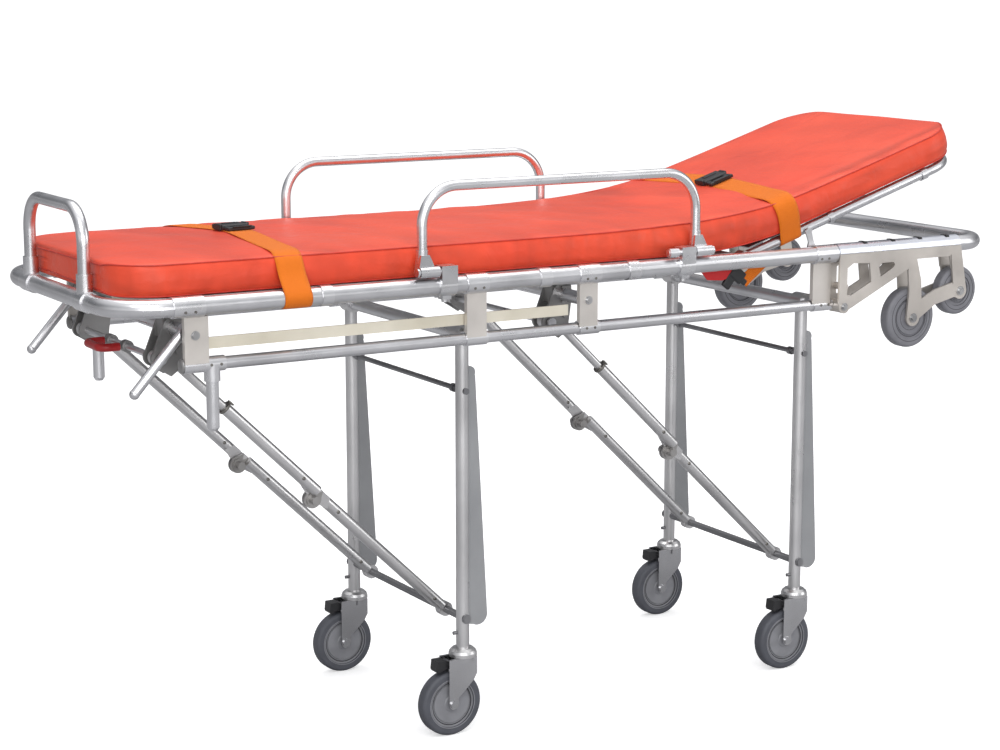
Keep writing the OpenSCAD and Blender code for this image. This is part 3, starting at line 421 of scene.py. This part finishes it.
def tube_loop(points, radius, sides):
    """A round tube along a closed loop of points."""
    n = len(points)
    verts = []
    normal = None
    for i, p in enumerate(points):
        tangent = (points[(i + 1) % n] - points[i - 1]).normalized()
        if normal is None:
            normal = UP if abs(tangent.z) < 0.9 else Vector((1, 0, 0))
        normal = (normal - tangent * normal.dot(tangent)).normalized()
        side = tangent.cross(normal)
        for k in range(sides):
            a = 2 * math.pi * k / sides
            verts.append(p + radius * (math.cos(a) * normal + math.sin(a) * side))
    return verts, ring_faces(n, sides, closed=True)


def lathe(profile, centre, axis, sides=24):
    """A closed turned solid: profile is [(distance along axis, radius)], from centre along axis."""
    axis = Vector(axis).normalized()
    ref = Vector((0, 0, 1)) if abs(axis.z) < 0.9 else Vector((1, 0, 0))
    u = (ref - axis * ref.dot(axis)).normalized()
    w = axis.cross(u)
    verts, faces = [], []
    for d, r in profile:
        for k in range(sides):
            a = 2 * math.pi * k / sides
            verts.append(Vector(centre) + axis * d + max(r, 1e-5) * (math.cos(a) * u + math.sin(a) * w))
    for i in range(len(profile) - 1):
        for k in range(sides):
            m = (k + 1) % sides
            faces.append((i * sides + k, (i + 1) * sides + k, (i + 1) * sides + m, i * sides + m))
    faces.append(tuple(range(sides)))
    faces.append(tuple(reversed([(len(profile) - 1) * sides + k for k in range(sides)])))
    return verts, faces


def rounded_box(size, centre, turn, r, steps=2):
    """A box with rounded edges as one mesh part."""
    bm = bmesh.new()
    bmesh.ops.create_cube(bm, size=1.0)
    for v in bm.verts:
        v.co = Vector((v.co.x * size[0], v.co.y * size[1], v.co.z * size[2]))
    bmesh.ops.bevel(bm, geom=bm.edges[:], offset=r, segments=steps, affect="EDGES", profile=0.5)
    bmesh.ops.transform(bm, matrix=Matrix.Translation(Vector(centre)) @ turn.to_4x4(), verts=bm.verts[:])
    bm.verts.ensure_lookup_table()
    verts = [v.co.copy() for v in bm.verts]
    faces = [tuple(v.index for v in f.verts) for f in bm.faces]
    bm.free()
    return verts, faces


def finish_piece(obj, body):
    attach(obj, body)
    return obj


# ---------------------------------------------------------------- mattress
MAT_W = 0.2625          # half width at the seam
MAT_T = 0.0575          # thickness at the seam
MAT_BASE = 0.8818       # underside of the flat half
FOOT_X = -0.9725 + MID
BEND_T = 0.150          # tangent length of the bend at the hinge
BACK_N = 0.0138         # from the backrest tubes' plane up to the underside
MAT_END_S = 0.590       # end along the backrest
R_FOOT, R_HEAD = 0.088, 0.092
SEAM_R = 0.009
CROWN, CROWN_RUN = 0.008, 0.12      # rise of the middle, and the length it takes to reach it
BEND_RISE = 0.0095      # the top stands this much higher over the bend


def mattress_line():
    """The underside's middle line: a function from length to (x, z, heading)."""
    corner_x = HINGE.x + ((MAT_BASE - HINGE.z) - BACK_N / math.cos(BACK)) / math.tan(BACK)
    start_x = corner_x - BEND_T
    flat = start_x - FOOT_X
    radius = BEND_T / math.tan(BACK / 2)
    arc = radius * BACK
    corner_s = (corner_x - HINGE.x) / math.cos(BACK)
    rise = MAT_END_S - corner_s - BEND_T
    total = flat + arc + rise

    def at(u):
        if u <= flat:
            return FOOT_X + u, MAT_BASE, 0.0
        if u <= flat + arc:
            a = (u - flat) / radius
            return start_x + radius * math.sin(a), MAT_BASE + radius * (1 - math.cos(a)), a
        d = u - flat - arc
        x = start_x + radius * math.sin(BACK) + d * math.cos(BACK)
        z = MAT_BASE + radius * (1 - math.cos(BACK)) + d * math.sin(BACK)
        return x, z, BACK
    return at, total, flat, arc


LINE, MAT_LEN, MAT_FLAT, MAT_ARC = mattress_line()
NY = 46                 # points across
NS = 9                  # points down each side
WIDTH = 2 * NY + 2 * NS
END_ROWS = 5            # rows that close each end
CORNER_STEPS = 14
MIDDLE_STEPS = 190


def section(half, low, high, crown):
    """Closed outline of the mattress across: (y, z, kind) round from the bottom."""
    r = min(SEAM_R, (high - low) * 0.45)
    side = []
    for i in range(NS):
        f = i / (NS - 1)
        edge = r * (0.55 * (1 - abs(2 * f - 1)) ** 0.25 + 0.45) if 0 < i < NS - 1 else r * 0.55
        bulge = 0.0030 * math.sin(math.pi * f)
        side.append((half - r + edge + bulge, low + r * 0.25 + (high - low - r * 0.5) * f, "side"))
    across = [-1 + 2 * i / (NY - 1) for i in range(NY)]
    bottom = [(t * (half - r), low, "bottom") for t in across]
    top = [(-t * (half - r), high + crown * (1 - t * t) ** 0.75, "top") for t in across]
    return bottom + side + top + [(-y, z, kind) for y, z, kind in reversed(side)]


def end_rows(radius):
    """Rows from an end inwards: the closed end, then the rounded corners."""
    rows = [(0.0, MAT_W - radius, 0.04 + 0.16 * k, 0.0) for k in range(END_ROWS)]
    for k in range(CORNER_STEPS + 1):
        a = math.pi / 2 * k / CORNER_STEPS
        d = radius * (1 - math.cos(a))
        thick = 0.84 + 0.16 * math.sqrt(max(0.0, 1 - (1 - min(d / SEAM_R, 1.0)) ** 2))
        rows.append((d, MAT_W - radius + radius * math.sin(a), thick, min(1.0, d / CROWN_RUN)))
    return rows


def mattress_rows():
    """Length from the foot end, half width, share of thickness and share of crown, row by row."""
    span = MAT_LEN - R_FOOT - R_HEAD
    middle = []
    for k in range(1, MIDDLE_STEPS):
        d = R_FOOT + span * k / MIDDLE_STEPS
        middle.append((d, MAT_W, 1.0, min(1.0, d / CROWN_RUN, (MAT_LEN - d) / CROWN_RUN)))
    head = [(MAT_LEN - d, half, thick, crown) for d, half, thick, crown in reversed(end_rows(R_HEAD))]
    return end_rows(R_FOOT) + middle + head


def bend_share(u, width):
    """1 in the middle of the bend, fading to 0 along the mattress."""
    return math.exp(-((u - MAT_FLAT - MAT_ARC * 0.35) / width) ** 2)


def crease(y, at, width):
    return math.exp(-((y - at) / width) ** 2)


def wrinkle(u, y, kind, z_share):
    """Small folds of the cover: strong in the bend and at the corners, faint on top."""
    bend = bend_share(u, 0.16)
    raised = max(0.0, min(1.0, (u - MAT_FLAT - MAT_ARC) / 0.10))
    p = Vector((u * 9.0, y * 4.0, z_share * 1.3))
    fold = noise.noise(p) + 0.5 * noise.noise(p * 2.3 + Vector((3.1, 1.7, 0.4)))
    if kind == "side":
        corner = math.exp(-(u / 0.11) ** 2) + math.exp(-((MAT_LEN - u) / 0.12) ** 2)
        pucker = (noise.noise(Vector((u * 38.0, z_share * 0.9, 5.0)))
                  + 0.6 * noise.noise(Vector((u * 71.0, z_share * 1.6, 8.0))))
        slant = noise.noise(Vector((u * 17.0 + z_share * 2.6, z_share * 1.2, 3.0)))
        long_folds = noise.noise(Vector((u * 7.0 + z_share * 1.5, z_share * 5.5, 11.0)))
        upright = (0.0018 + 0.0016 * corner + 0.0020 * bend) * pucker + 0.0020 * slant
        return ((1.0 - 0.75 * raised) * upright + (0.0015 + 0.0055 * bend) * fold
                + 0.0042 * raised * long_folds)
    if kind == "top":
        edge = max(0.0, abs(y) / MAT_W - 0.70) / 0.30
        ripple = noise.noise(Vector((u * 26.0, y * 9.0, 2.0)))
        wander = 0.010 * noise.noise(Vector((u * 4.0, 0.0, 9.0)))
        folds = crease(y, -0.222 + wander, 0.012) + 0.7 * crease(y, -0.184 - wander, 0.012) * bend
        slack = noise.noise(Vector((u * 13.0 + y * 6.0, y * 5.0 - u * 3.0, 6.0)))
        return ((0.0011 + 0.0030 * bend) * fold + 0.0020 * edge * ripple - 0.0042 * raised * folds
                + 0.0020 * slack)
    return 0.0


def build_mattress(rows):
    """The cover before it fills, and for every point what part of it the point is on."""
    verts, kinds, shade = [], [], []
    mid = MAT_T / 2
    for d, half, thick, crown in rows:
        x, z, heading = LINE(d)
        up = Vector((-math.sin(heading), 0, math.cos(heading)))
        base = Vector((x, 0, z))
        low, high = mid - mid * thick, mid + mid * thick + BEND_RISE * bend_share(d, 0.19)
        for y, h, kind in section(half, low, high, CROWN * crown):
            share = (h - low) / max(high - low, 1e-6)
            w = wrinkle(d, y, kind, share) if thick > 0.83 else 0.0
            point = base + up * h + Vector((0, y, 0))
            if kind == "top":
                point += up * w * min(1.0, crown + 0.3)
            elif kind == "side":
                point += Vector((0, math.copysign(w, y), 0)) * math.sin(math.pi * min(1.0, max(0.0, share)))
            verts.append(point)
            kinds.append(kind)
            shade.append(w)
    faces = ring_faces(len(rows), WIDTH)
    faces.append(tuple(reversed(range(WIDTH))))
    faces.append(tuple((len(rows) - 1) * WIDTH + k for k in range(WIDTH)))
    obj = make_mesh("mattress", verts, faces, M["mattress"])
    # the fold depth of every point is kept on the cover for the vinyl's painted shade in the hollows and
    # painted light on the crests
    obj.data.attributes.new("fold_painted_shade", "FLOAT", "POINT").data.foreach_set("value", shade)
    return obj, kinds


SWELL_FRAMES = 20
SWELL_MOST = 0.007      # no point of the cover moves further than this


def swell(obj, kinds, rows):
    """Cloth simulation: the cover fills under pressure, held along its seams and its underside."""
    rest = np.array([v.co for v in obj.data.vertices])
    group = obj.vertex_groups.new(name="held")
    held = []
    for i, kind in enumerate(kinds):
        row, k = divmod(i, WIDTH)
        seam = kind == "side" and (k - NY) % (NY + NS) in (0, NS - 1)
        end = row < END_ROWS or row >= len(rows) - END_ROWS
        if kind == "bottom" or seam or end:
            held.append(i)
    group.add(held, 1.0, "REPLACE")
    mod = obj.modifiers.new("cloth", "CLOTH")
    s = mod.settings
    s.quality = 6
    s.mass = 0.4
    s.tension_stiffness = 14.0
    s.compression_stiffness = 14.0
    s.shear_stiffness = 6.0
    s.bending_stiffness = 0.8
    s.use_pressure = True
    s.uniform_pressure_force = 3.0
    s.vertex_group_mass = "held"
    s.shrink_min = -0.02
    s.effector_weights.gravity = 0.0
    mod.collision_settings.use_collision = False
    scene = bpy.context.scene
    scene.frame_start, scene.frame_end = 1, SWELL_FRAMES
    for f in range(1, SWELL_FRAMES + 1):
        scene.frame_set(f)
    deps = bpy.context.evaluated_depsgraph_get()
    co = np.array([v.co for v in obj.evaluated_get(deps).data.vertices])
    obj.modifiers.remove(mod)
    scene.frame_set(1)
    move = co - rest
    length = np.linalg.norm(move, axis=1)
    keep = np.where(length > SWELL_MOST, SWELL_MOST / np.maximum(length, 1e-9), 1.0)
    move *= keep[:, None]
    obj.data.vertices.foreach_set("co", (rest + move).astype(np.float32).ravel())
    obj.data.update()
    obj.vertex_groups.clear()


ROWS = mattress_rows()
mattress, KINDS = build_mattress(ROWS)
swell(mattress, KINDS, ROWS)


def cover_column(k):
    """The cover's points along one column, without the closed ends."""
    points = mattress.data.vertices
    return [points[i * WIDTH + k].co.copy() for i in range(END_ROWS - 1, len(ROWS) - END_ROWS + 1)]


PIPING_R, PIPING_STEP = 0.0016, 0.006


def make_piping():
    """A thin welt round the upper seam and one round the lower seam."""
    parts = []
    for right, left in ((NY + NS - 1, 2 * NY + NS), (NY, 2 * NY + 2 * NS - 1)):
        loop = cover_column(right) + cover_column(left)[::-1]
        even = [loop[0]]
        for p in loop[1:]:
            if (p - even[-1]).length > PIPING_STEP:
                even.append(p)
        parts.append(tube_loop(even, PIPING_R, 8))
    return join_parts("mattress_piping", parts, M["piping"])


piping = make_piping()
mattress_tree = mesh_tree(mattress.data)
RAY_START = 0.2         # rays down to the mattress start this far above it
sub = mattress.modifiers.new("smooth", "SUBSURF")
sub.levels = sub.render_levels = 1


def apply_modifiers(obj):
    deps = bpy.context.evaluated_depsgraph_get()
    mesh = bpy.data.meshes.new_from_object(obj.evaluated_get(deps))
    old = obj.data
    obj.modifiers.clear()
    obj.data = mesh
    bpy.data.meshes.remove(old)


apply_modifiers(mattress)
mattress.data.polygons.foreach_set("use_smooth", [True] * len(mattress.data.polygons))
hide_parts("mattress_seat", "mattress_back")
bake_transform(mattress)
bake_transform(piping)


# ---------------------------------------------------------------- straps
STRAP_HALF, TAIL_HALF = 0.0262, 0.0125  # half widths of the straps and of the loose end
STRAP_T = 0.0018
STRAP_LIFT = 0.0016     # from what a strap lies on to its middle
STRAP_COLS = 8          # faces across a strap
STRAP_STEP = 0.006      # between the points along a strap
OVER_STEPS = 60         # points over the mattress
EDGE_GAP = 0.004        # they end this far inside its edges


def resample(points, step):
    pts = [Vector(p) for p in points]
    out = [pts[0]]
    for a, b in zip(pts, pts[1:]):
        n = max(1, int(round((b - a).length / step)))
        out.extend([a.lerp(b, k / n) for k in range(1, n + 1)])
    return out


def tangent_at(points, i):
    return (points[min(i + 1, len(points) - 1)] - points[max(i - 1, 0)]).normalized()


def ribbon(name, centres, widths, normals, half_width):
    """A woven strap: closed band along centres. widths are unit vectors across it."""
    verts, uvs = [], []
    length = 0.0
    last = centres[0]
    for c, w, n in zip(centres, widths, normals):
        length += (c - last).length
        last = c
        for side in (1, -1):
            for k in range(STRAP_COLS + 1):
                t = -1 + 2 * k / STRAP_COLS
                thin = 1.0 if abs(t) < 0.99 else 0.4
                verts.append(c + w * (half_width * t) + n * (side * STRAP_T / 2 * thin))
                uvs.append((t * half_width * 1000, length * 1000))
    ring = 2 * (STRAP_COLS + 1)
    order = list(range(STRAP_COLS + 1)) + list(range(ring - 1, STRAP_COLS, -1))
    faces = []
    for i in range(len(centres) - 1):
        for a, b in zip(order, order[1:] + order[:1]):
            faces.append((i * ring + a, i * ring + b, (i + 1) * ring + b, (i + 1) * ring + a))
    faces.append(tuple(reversed(order)))
    faces.append(tuple((len(centres) - 1) * ring + k for k in order))
    return make_mesh(name, verts, faces, M["strap"], uvs)


def surface_point(start, up):
    """Where a ray from start against up meets the mattress."""
    hit = mattress_tree.ray_cast(start, -up)[0]
    return hit if hit is not None else start - up * RAY_START


def smooth_line(points, times):
    pts = [p.copy() for p in points]
    for _ in range(times):
        pts = [pts[0]] + [(a + b * 2 + c) / 4 for a, b, c in zip(pts, pts[1:], pts[2:])] + [pts[-1]]
    return pts


def curve_x(y, near, middle, far, y_mid):
    """The strap's sideways drift over the mattress."""
    if y < y_mid:
        t = (y + MAT_W) / (y_mid + MAT_W)
        return near + (middle - near) * max(0.0, min(1.0, t))
    t = (y - y_mid) / (MAT_W - y_mid)
    return middle + (far - middle) * max(0.0, min(1.0, t))


def build_strap(name, at, up, around, drift, slack):
    """at(s, y, h) places a point, around is the path [(y, h)] from the mattress edge down, drift(y) is s."""
    near = [at(drift(-MAT_W), -y, h) for y, h in reversed(around)]
    far = [at(drift(MAT_W), y, h) for y, h in around]
    over = []
    for k in range(OVER_STEPS + 1):
        y = -MAT_W + EDGE_GAP + (2 * MAT_W - 2 * EDGE_GAP) * k / OVER_STEPS
        hit = surface_point(at(drift(y), y, RAY_START), up)
        over.append(hit + up * (STRAP_LIFT + slack * math.exp(-((abs(y) - MAT_W + 0.026) / 0.030) ** 2)))
    centres = smooth_line(resample(near + over + far, STRAP_STEP), 6)
    side = (at(1.0, 0.0, 0.0) - at(0.0, 0.0, 0.0)).normalized()
    widths, normals = [], []
    for i in range(len(centres)):
        t = tangent_at(centres, i)
        w = (side - t * side.dot(t)).normalized()
        widths.append(w)
        normals.append(w.cross(t))
    return ribbon(name, centres, widths, normals, STRAP_HALF)


def seat_at(s, y, h):
    return Vector((s, y, MAT_BASE + h))


def back_at(s, y, h):
    return back_point(s, y, h + BACK_N)


def round_tube(y, h, radius, first, last, step):
    """(y, h) over and under a tube, from angle first down to last, in degrees."""
    r = radius + STRAP_LIFT
    angles = [math.radians(a) for a in range(first, last, step)]
    return [(y + r * math.cos(a), h + r * math.sin(a)) for a in angles]


# (y, h) from the mattress edge down over the rail, and over the backrest's tube
AROUND_RAIL = [(MAT_W + 0.0030, MAT_T - 0.004), (MAT_W + 0.0075, MAT_T - 0.020), (MAT_W + 0.020, 0.018)]
AROUND_RAIL += round_tube(RAIL_Y, RAIL_Z - MAT_BASE, RAIL_R, 35, -125, -10)
AROUND_BACK = [(MAT_W + 0.0065, MAT_T - 0.004), (MAT_W + 0.0080, MAT_T - 0.022), (MAT_W + 0.0060, 0.016),
               (MAT_W + 0.001, 0.004)]
AROUND_BACK += round_tube(BACK_TUBE_Y, -BACK_N, BACK_TUBE_R, 20, -125, -12)

leg_strap = build_strap("leg_strap_webbing", seat_at, UP, AROUND_RAIL,
                        lambda y: MID + curve_x(y, -0.666, -0.624, -0.664, 0.050), 0.0015)
finish_piece(leg_strap, "chassis")
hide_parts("leg_strap")
chest_strap = build_strap("chest_strap_webbing", back_at, BACK_UP, AROUND_BACK,
                          lambda y: curve_x(y, 0.117, 0.148, 0.128, 0.000), 0.0045)
finish_piece(chest_strap, "backrest")
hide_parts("chest_strap")


def build_buckle(name, up, along, across, centre):
    """Side release buckle: body, tongue with two prongs, ladder bar."""
    turn = Matrix((along, across, up)).transposed()
    boxes = [       # size, place along, across and up, radius of the edges, steps
        ((0.058, 0.040, 0.010), (0.0, 0.008, 0.0055), 0.003, 3),
        ((0.058, 0.014, 0.007), (0.0, -0.026, 0.0045), 0.0022, 2),
        ((0.012, 0.030, 0.006), (-0.0215, -0.012, 0.0050), 0.0020, 2),
        ((0.012, 0.030, 0.006), (0.0215, -0.012, 0.0050), 0.0020, 2),
        ((0.006, 0.022, 0.0125), (-0.0290, 0.004, 0.0060), 0.0020, 2),
        ((0.006, 0.022, 0.0125), (0.0290, 0.004, 0.0060), 0.0020, 2),
        ((0.040, 0.004, 0.0030), (0.0, -0.0335, 0.0085), 0.0010, 2),
        ((0.030, 0.010, 0.0020), (0.0, 0.012, 0.0110), 0.0008, 2),
    ]
    parts = [rounded_box(size, centre + along * x + across * y + up * z, turn, r, steps)
             for size, (x, y, z), r, steps in boxes]
    return join_parts(name, parts, M["black"], smooth=False)


# ---------------------------------------------------------------- small visible pieces
def strut_lines(leg_x):
    """Start and direction of the upper and of the lower strut's middle line."""
    shift = Vector((leg_x, 0.0, 0.0))
    a = (STRUT_KNEE - STRUT_TOP).normalized()
    a_up = Vector((-a.z, 0.0, a.x))
    b = (STRUT_KNEE - STRUT_FOOT).normalized()
    b_up = Vector((b.z, 0.0, -b.x))
    knee_end = STRUT_KNEE + b_up * STRUT_LIFT
    upper = STRUT_TOP + a_up * STRUT_LIFT + shift, a
    lower = STRUT_FOOT + shift, (knee_end - STRUT_FOOT).normalized()
    return upper, lower


def screw_pair(c, y):
    """Screw heads on both faces of a strut."""
    return [lathe([(0.0, 0.0036), (0.0012, 0.0034), (0.0020, 0.0020)],
                  Vector((c.x, y + face * STRUT_FACE, c.z)), (0.0, face, 0.0), 12) for face in (1.0, -1.0)]


def strut_details(end, leg_x):
    """Screws in the struts, and on the right side a spring clip round the mouth of the wider tube."""
    (top, a), (foot, b) = strut_lines(leg_x)
    upper_len = (STRUT_KNEE - STRUT_TOP).length
    lower_len = (STRUT_KNEE - STRUT_FOOT).length
    upper, lower = [], []
    for side, out in OUT.items():
        upper += screw_pair(top + a * (upper_len - 0.050), out * STRUT_Y["upper"])
        for d in (lower_len - 0.062, 0.036):
            lower += screw_pair(foot + b * d, out * STRUT_Y["lower"])
        if side == "right":
            c = top + a * 0.160
            c.y = out * STRUT_Y["upper"]
            band = [(0.0, 0.0085), (0.0, 0.0128), (0.0022, 0.0132), (0.0044, 0.0128), (0.0044, 0.0085)]
            upper.append(lathe(band, c - a * 0.002, a, 20))
            tab = c + Vector((-a.z, 0.0, a.x)) * 0.0140 + a * 0.004
            turn = Vector((1, 0, 0)).rotation_difference(a).to_matrix()
            upper.append(rounded_box((0.012, 0.008, 0.0035), tab, turn, 0.001))
    for which, parts in (("upper", upper), ("lower", lower)):
        screws = join_parts("%s_%s_strut_screws" % (end, which), parts, M["bolt"], smooth=False)
        finish_piece(screws, "%s_%s_struts" % (end, which))


for end, leg_x in LEG_X.items():
    strut_details(end, leg_x)

# plugs in the open foot ends of the lower rails
caps = [lathe([(-0.0050, 0.0070), (-0.0040, 0.0112), (-0.0015, 0.0128), (-0.0002, 0.0130)],
              (LOWER_RAIL_FOOT, out * LOWER_RAIL_Y, LOWER_RAIL_Z), (1.0, 0.0, 0.0), 24)
        for out in OUT.values()]
finish_piece(join_parts("lower_rail_caps", caps, M["dark"]), "chassis")


def face_distance(trees, centre, radius):
    """From a wheel's middle out to its face at this radius; later places are for where the first is open."""
    for turn in range(3):
        a = 0.4 + 2.1 * turn
        start = Vector((centre[0] + radius * math.cos(a), 1.0, centre[2] + radius * math.sin(a)))
        hits = [tree.ray_cast(start, Vector((0.0, -1.0, 0.0)))[0] for tree in trees]
        faces = [hit.y for hit in hits if hit is not None]
        if faces:
            return abs(max(faces) - centre[1])
    return None


def wheel_rings(name, body, nodes, rings):
    """Thin raised rings, given as [(radius, width, tag)], on both faces of a wheel; the dark ones are
    painted shade in the wheel's grooves.
    """
    points = [v.co for n in nodes for v in NODES[n].data.vertices]
    cx, cy, cz = ((min(p[i] for p in points) + max(p[i] for p in points)) / 2 for i in range(3))
    trees = [mesh_tree(NODES[n].data) for n in nodes]
    turns = [2 * math.pi * i / 64 for i in range(64)]
    for tag, material in (("dark", M["groove_shade_line"]), ("light", M["disc_line"])):
        parts = []
        for radius, width, _ in (ring for ring in rings if ring[2] == tag):
            y = face_distance(trees, (cx, cy, cz), radius)
            if y is None:
                continue
            for out in (1.0, -1.0):
                circle = [Vector((cx + radius * math.cos(a), cy + out * (y - width * 0.6),
                                  cz + radius * math.sin(a))) for a in turns]
                parts.append(tube_loop(circle, width, 6))
        if parts:
            finish_piece(join_parts("%s_%s_rings" % (name, tag), parts, material), body)


for end in LEG_X:
    for side in OUT:
        tag = "%s_%s" % (end, side)
        wheel_rings("castor_" + tag, "wheel_" + tag, ["castor_hub_" + tag, "castor_tyre_" + tag],
                    CASTOR_RINGS)
for level, wheel_r in LOADING_R.items():
    for side in OUT:
        tag = "loading_wheel_%s_%s" % (level, side)
        rings = [(wheel_r * share, width, kind) for share, width, kind in LOADING_RINGS]
        wheel_rings(tag, tag, [tag], rings)

# dark stops in the notches of the ratchet strips
stops = [rounded_box((0.0088, 0.018, 0.0052), (x + MID, out * (RAIL_Y + 0.001), RAIL_Z + 0.0172),
                     Matrix.Identity(3), 0.0008) for x in RATCHET_X for out in OUT.values()]
finish_piece(join_parts("ratchet_stops", stops, M["black"], smooth=False), "chassis")


def hanging_strap():
    """The loose strap end beside the hinge, and the black buckle that it comes out of."""
    path = [(0.372, -0.2640, 0.868), (0.352, -0.2645, 0.852), (0.330, -0.2650, 0.836),
            (0.312, -0.2652, 0.822)]
    pts = smooth_line(resample([Vector((x, y, z)) + Vector((MID, 0, 0)) for x, y, z in path], 0.004), 4)
    facing = Vector((0.15, 1.0, 0.1)).normalized()
    widths, normals = [], []
    for i in range(len(pts)):
        t = tangent_at(pts, i)
        w = facing.cross(t).normalized()
        widths.append(w)
        normals.append(t.cross(w).normalized())
    finish_piece(ribbon("loose_strap_end", pts, widths, normals, TAIL_HALF), "chassis")
    turn = Matrix.Rotation(math.radians(38), 3, "Y")
    parts = [
        rounded_box((0.034, 0.010, 0.026), (0.298 + MID, -0.2640, 0.838), turn, 0.003, 2),
        rounded_box((0.020, 0.008, 0.030), (0.278 + MID, -0.2635, 0.826), turn, 0.003, 2),
        rounded_box((0.016, 0.007, 0.012), (0.312 + MID, -0.2640, 0.824), turn, 0.002, 2),
    ]
    buckle = join_parts("loose_strap_buckle", parts, M["black"], smooth=False)
    finish_piece(buckle, "chassis")


hanging_strap()

BUCKLE_LIFT = 0.002
spot = surface_point(Vector((-0.626 + MID, 0.062, 1.2)), UP)
finish_piece(build_buckle("leg_strap_buckle", UP, Vector((0.990, 0.139, 0)), Vector((-0.139, 0.990, 0)),
                          spot + UP * BUCKLE_LIFT), "chassis")
spot = surface_point(back_point(0.146, 0.004, RAY_START), BACK_UP)
finish_piece(build_buckle("chest_strap_buckle", BACK_UP, BACK_ALONG, Vector((0, 1, 0)),
                          spot + BACK_UP * BUCKLE_LIFT), "backrest")

make_stage()
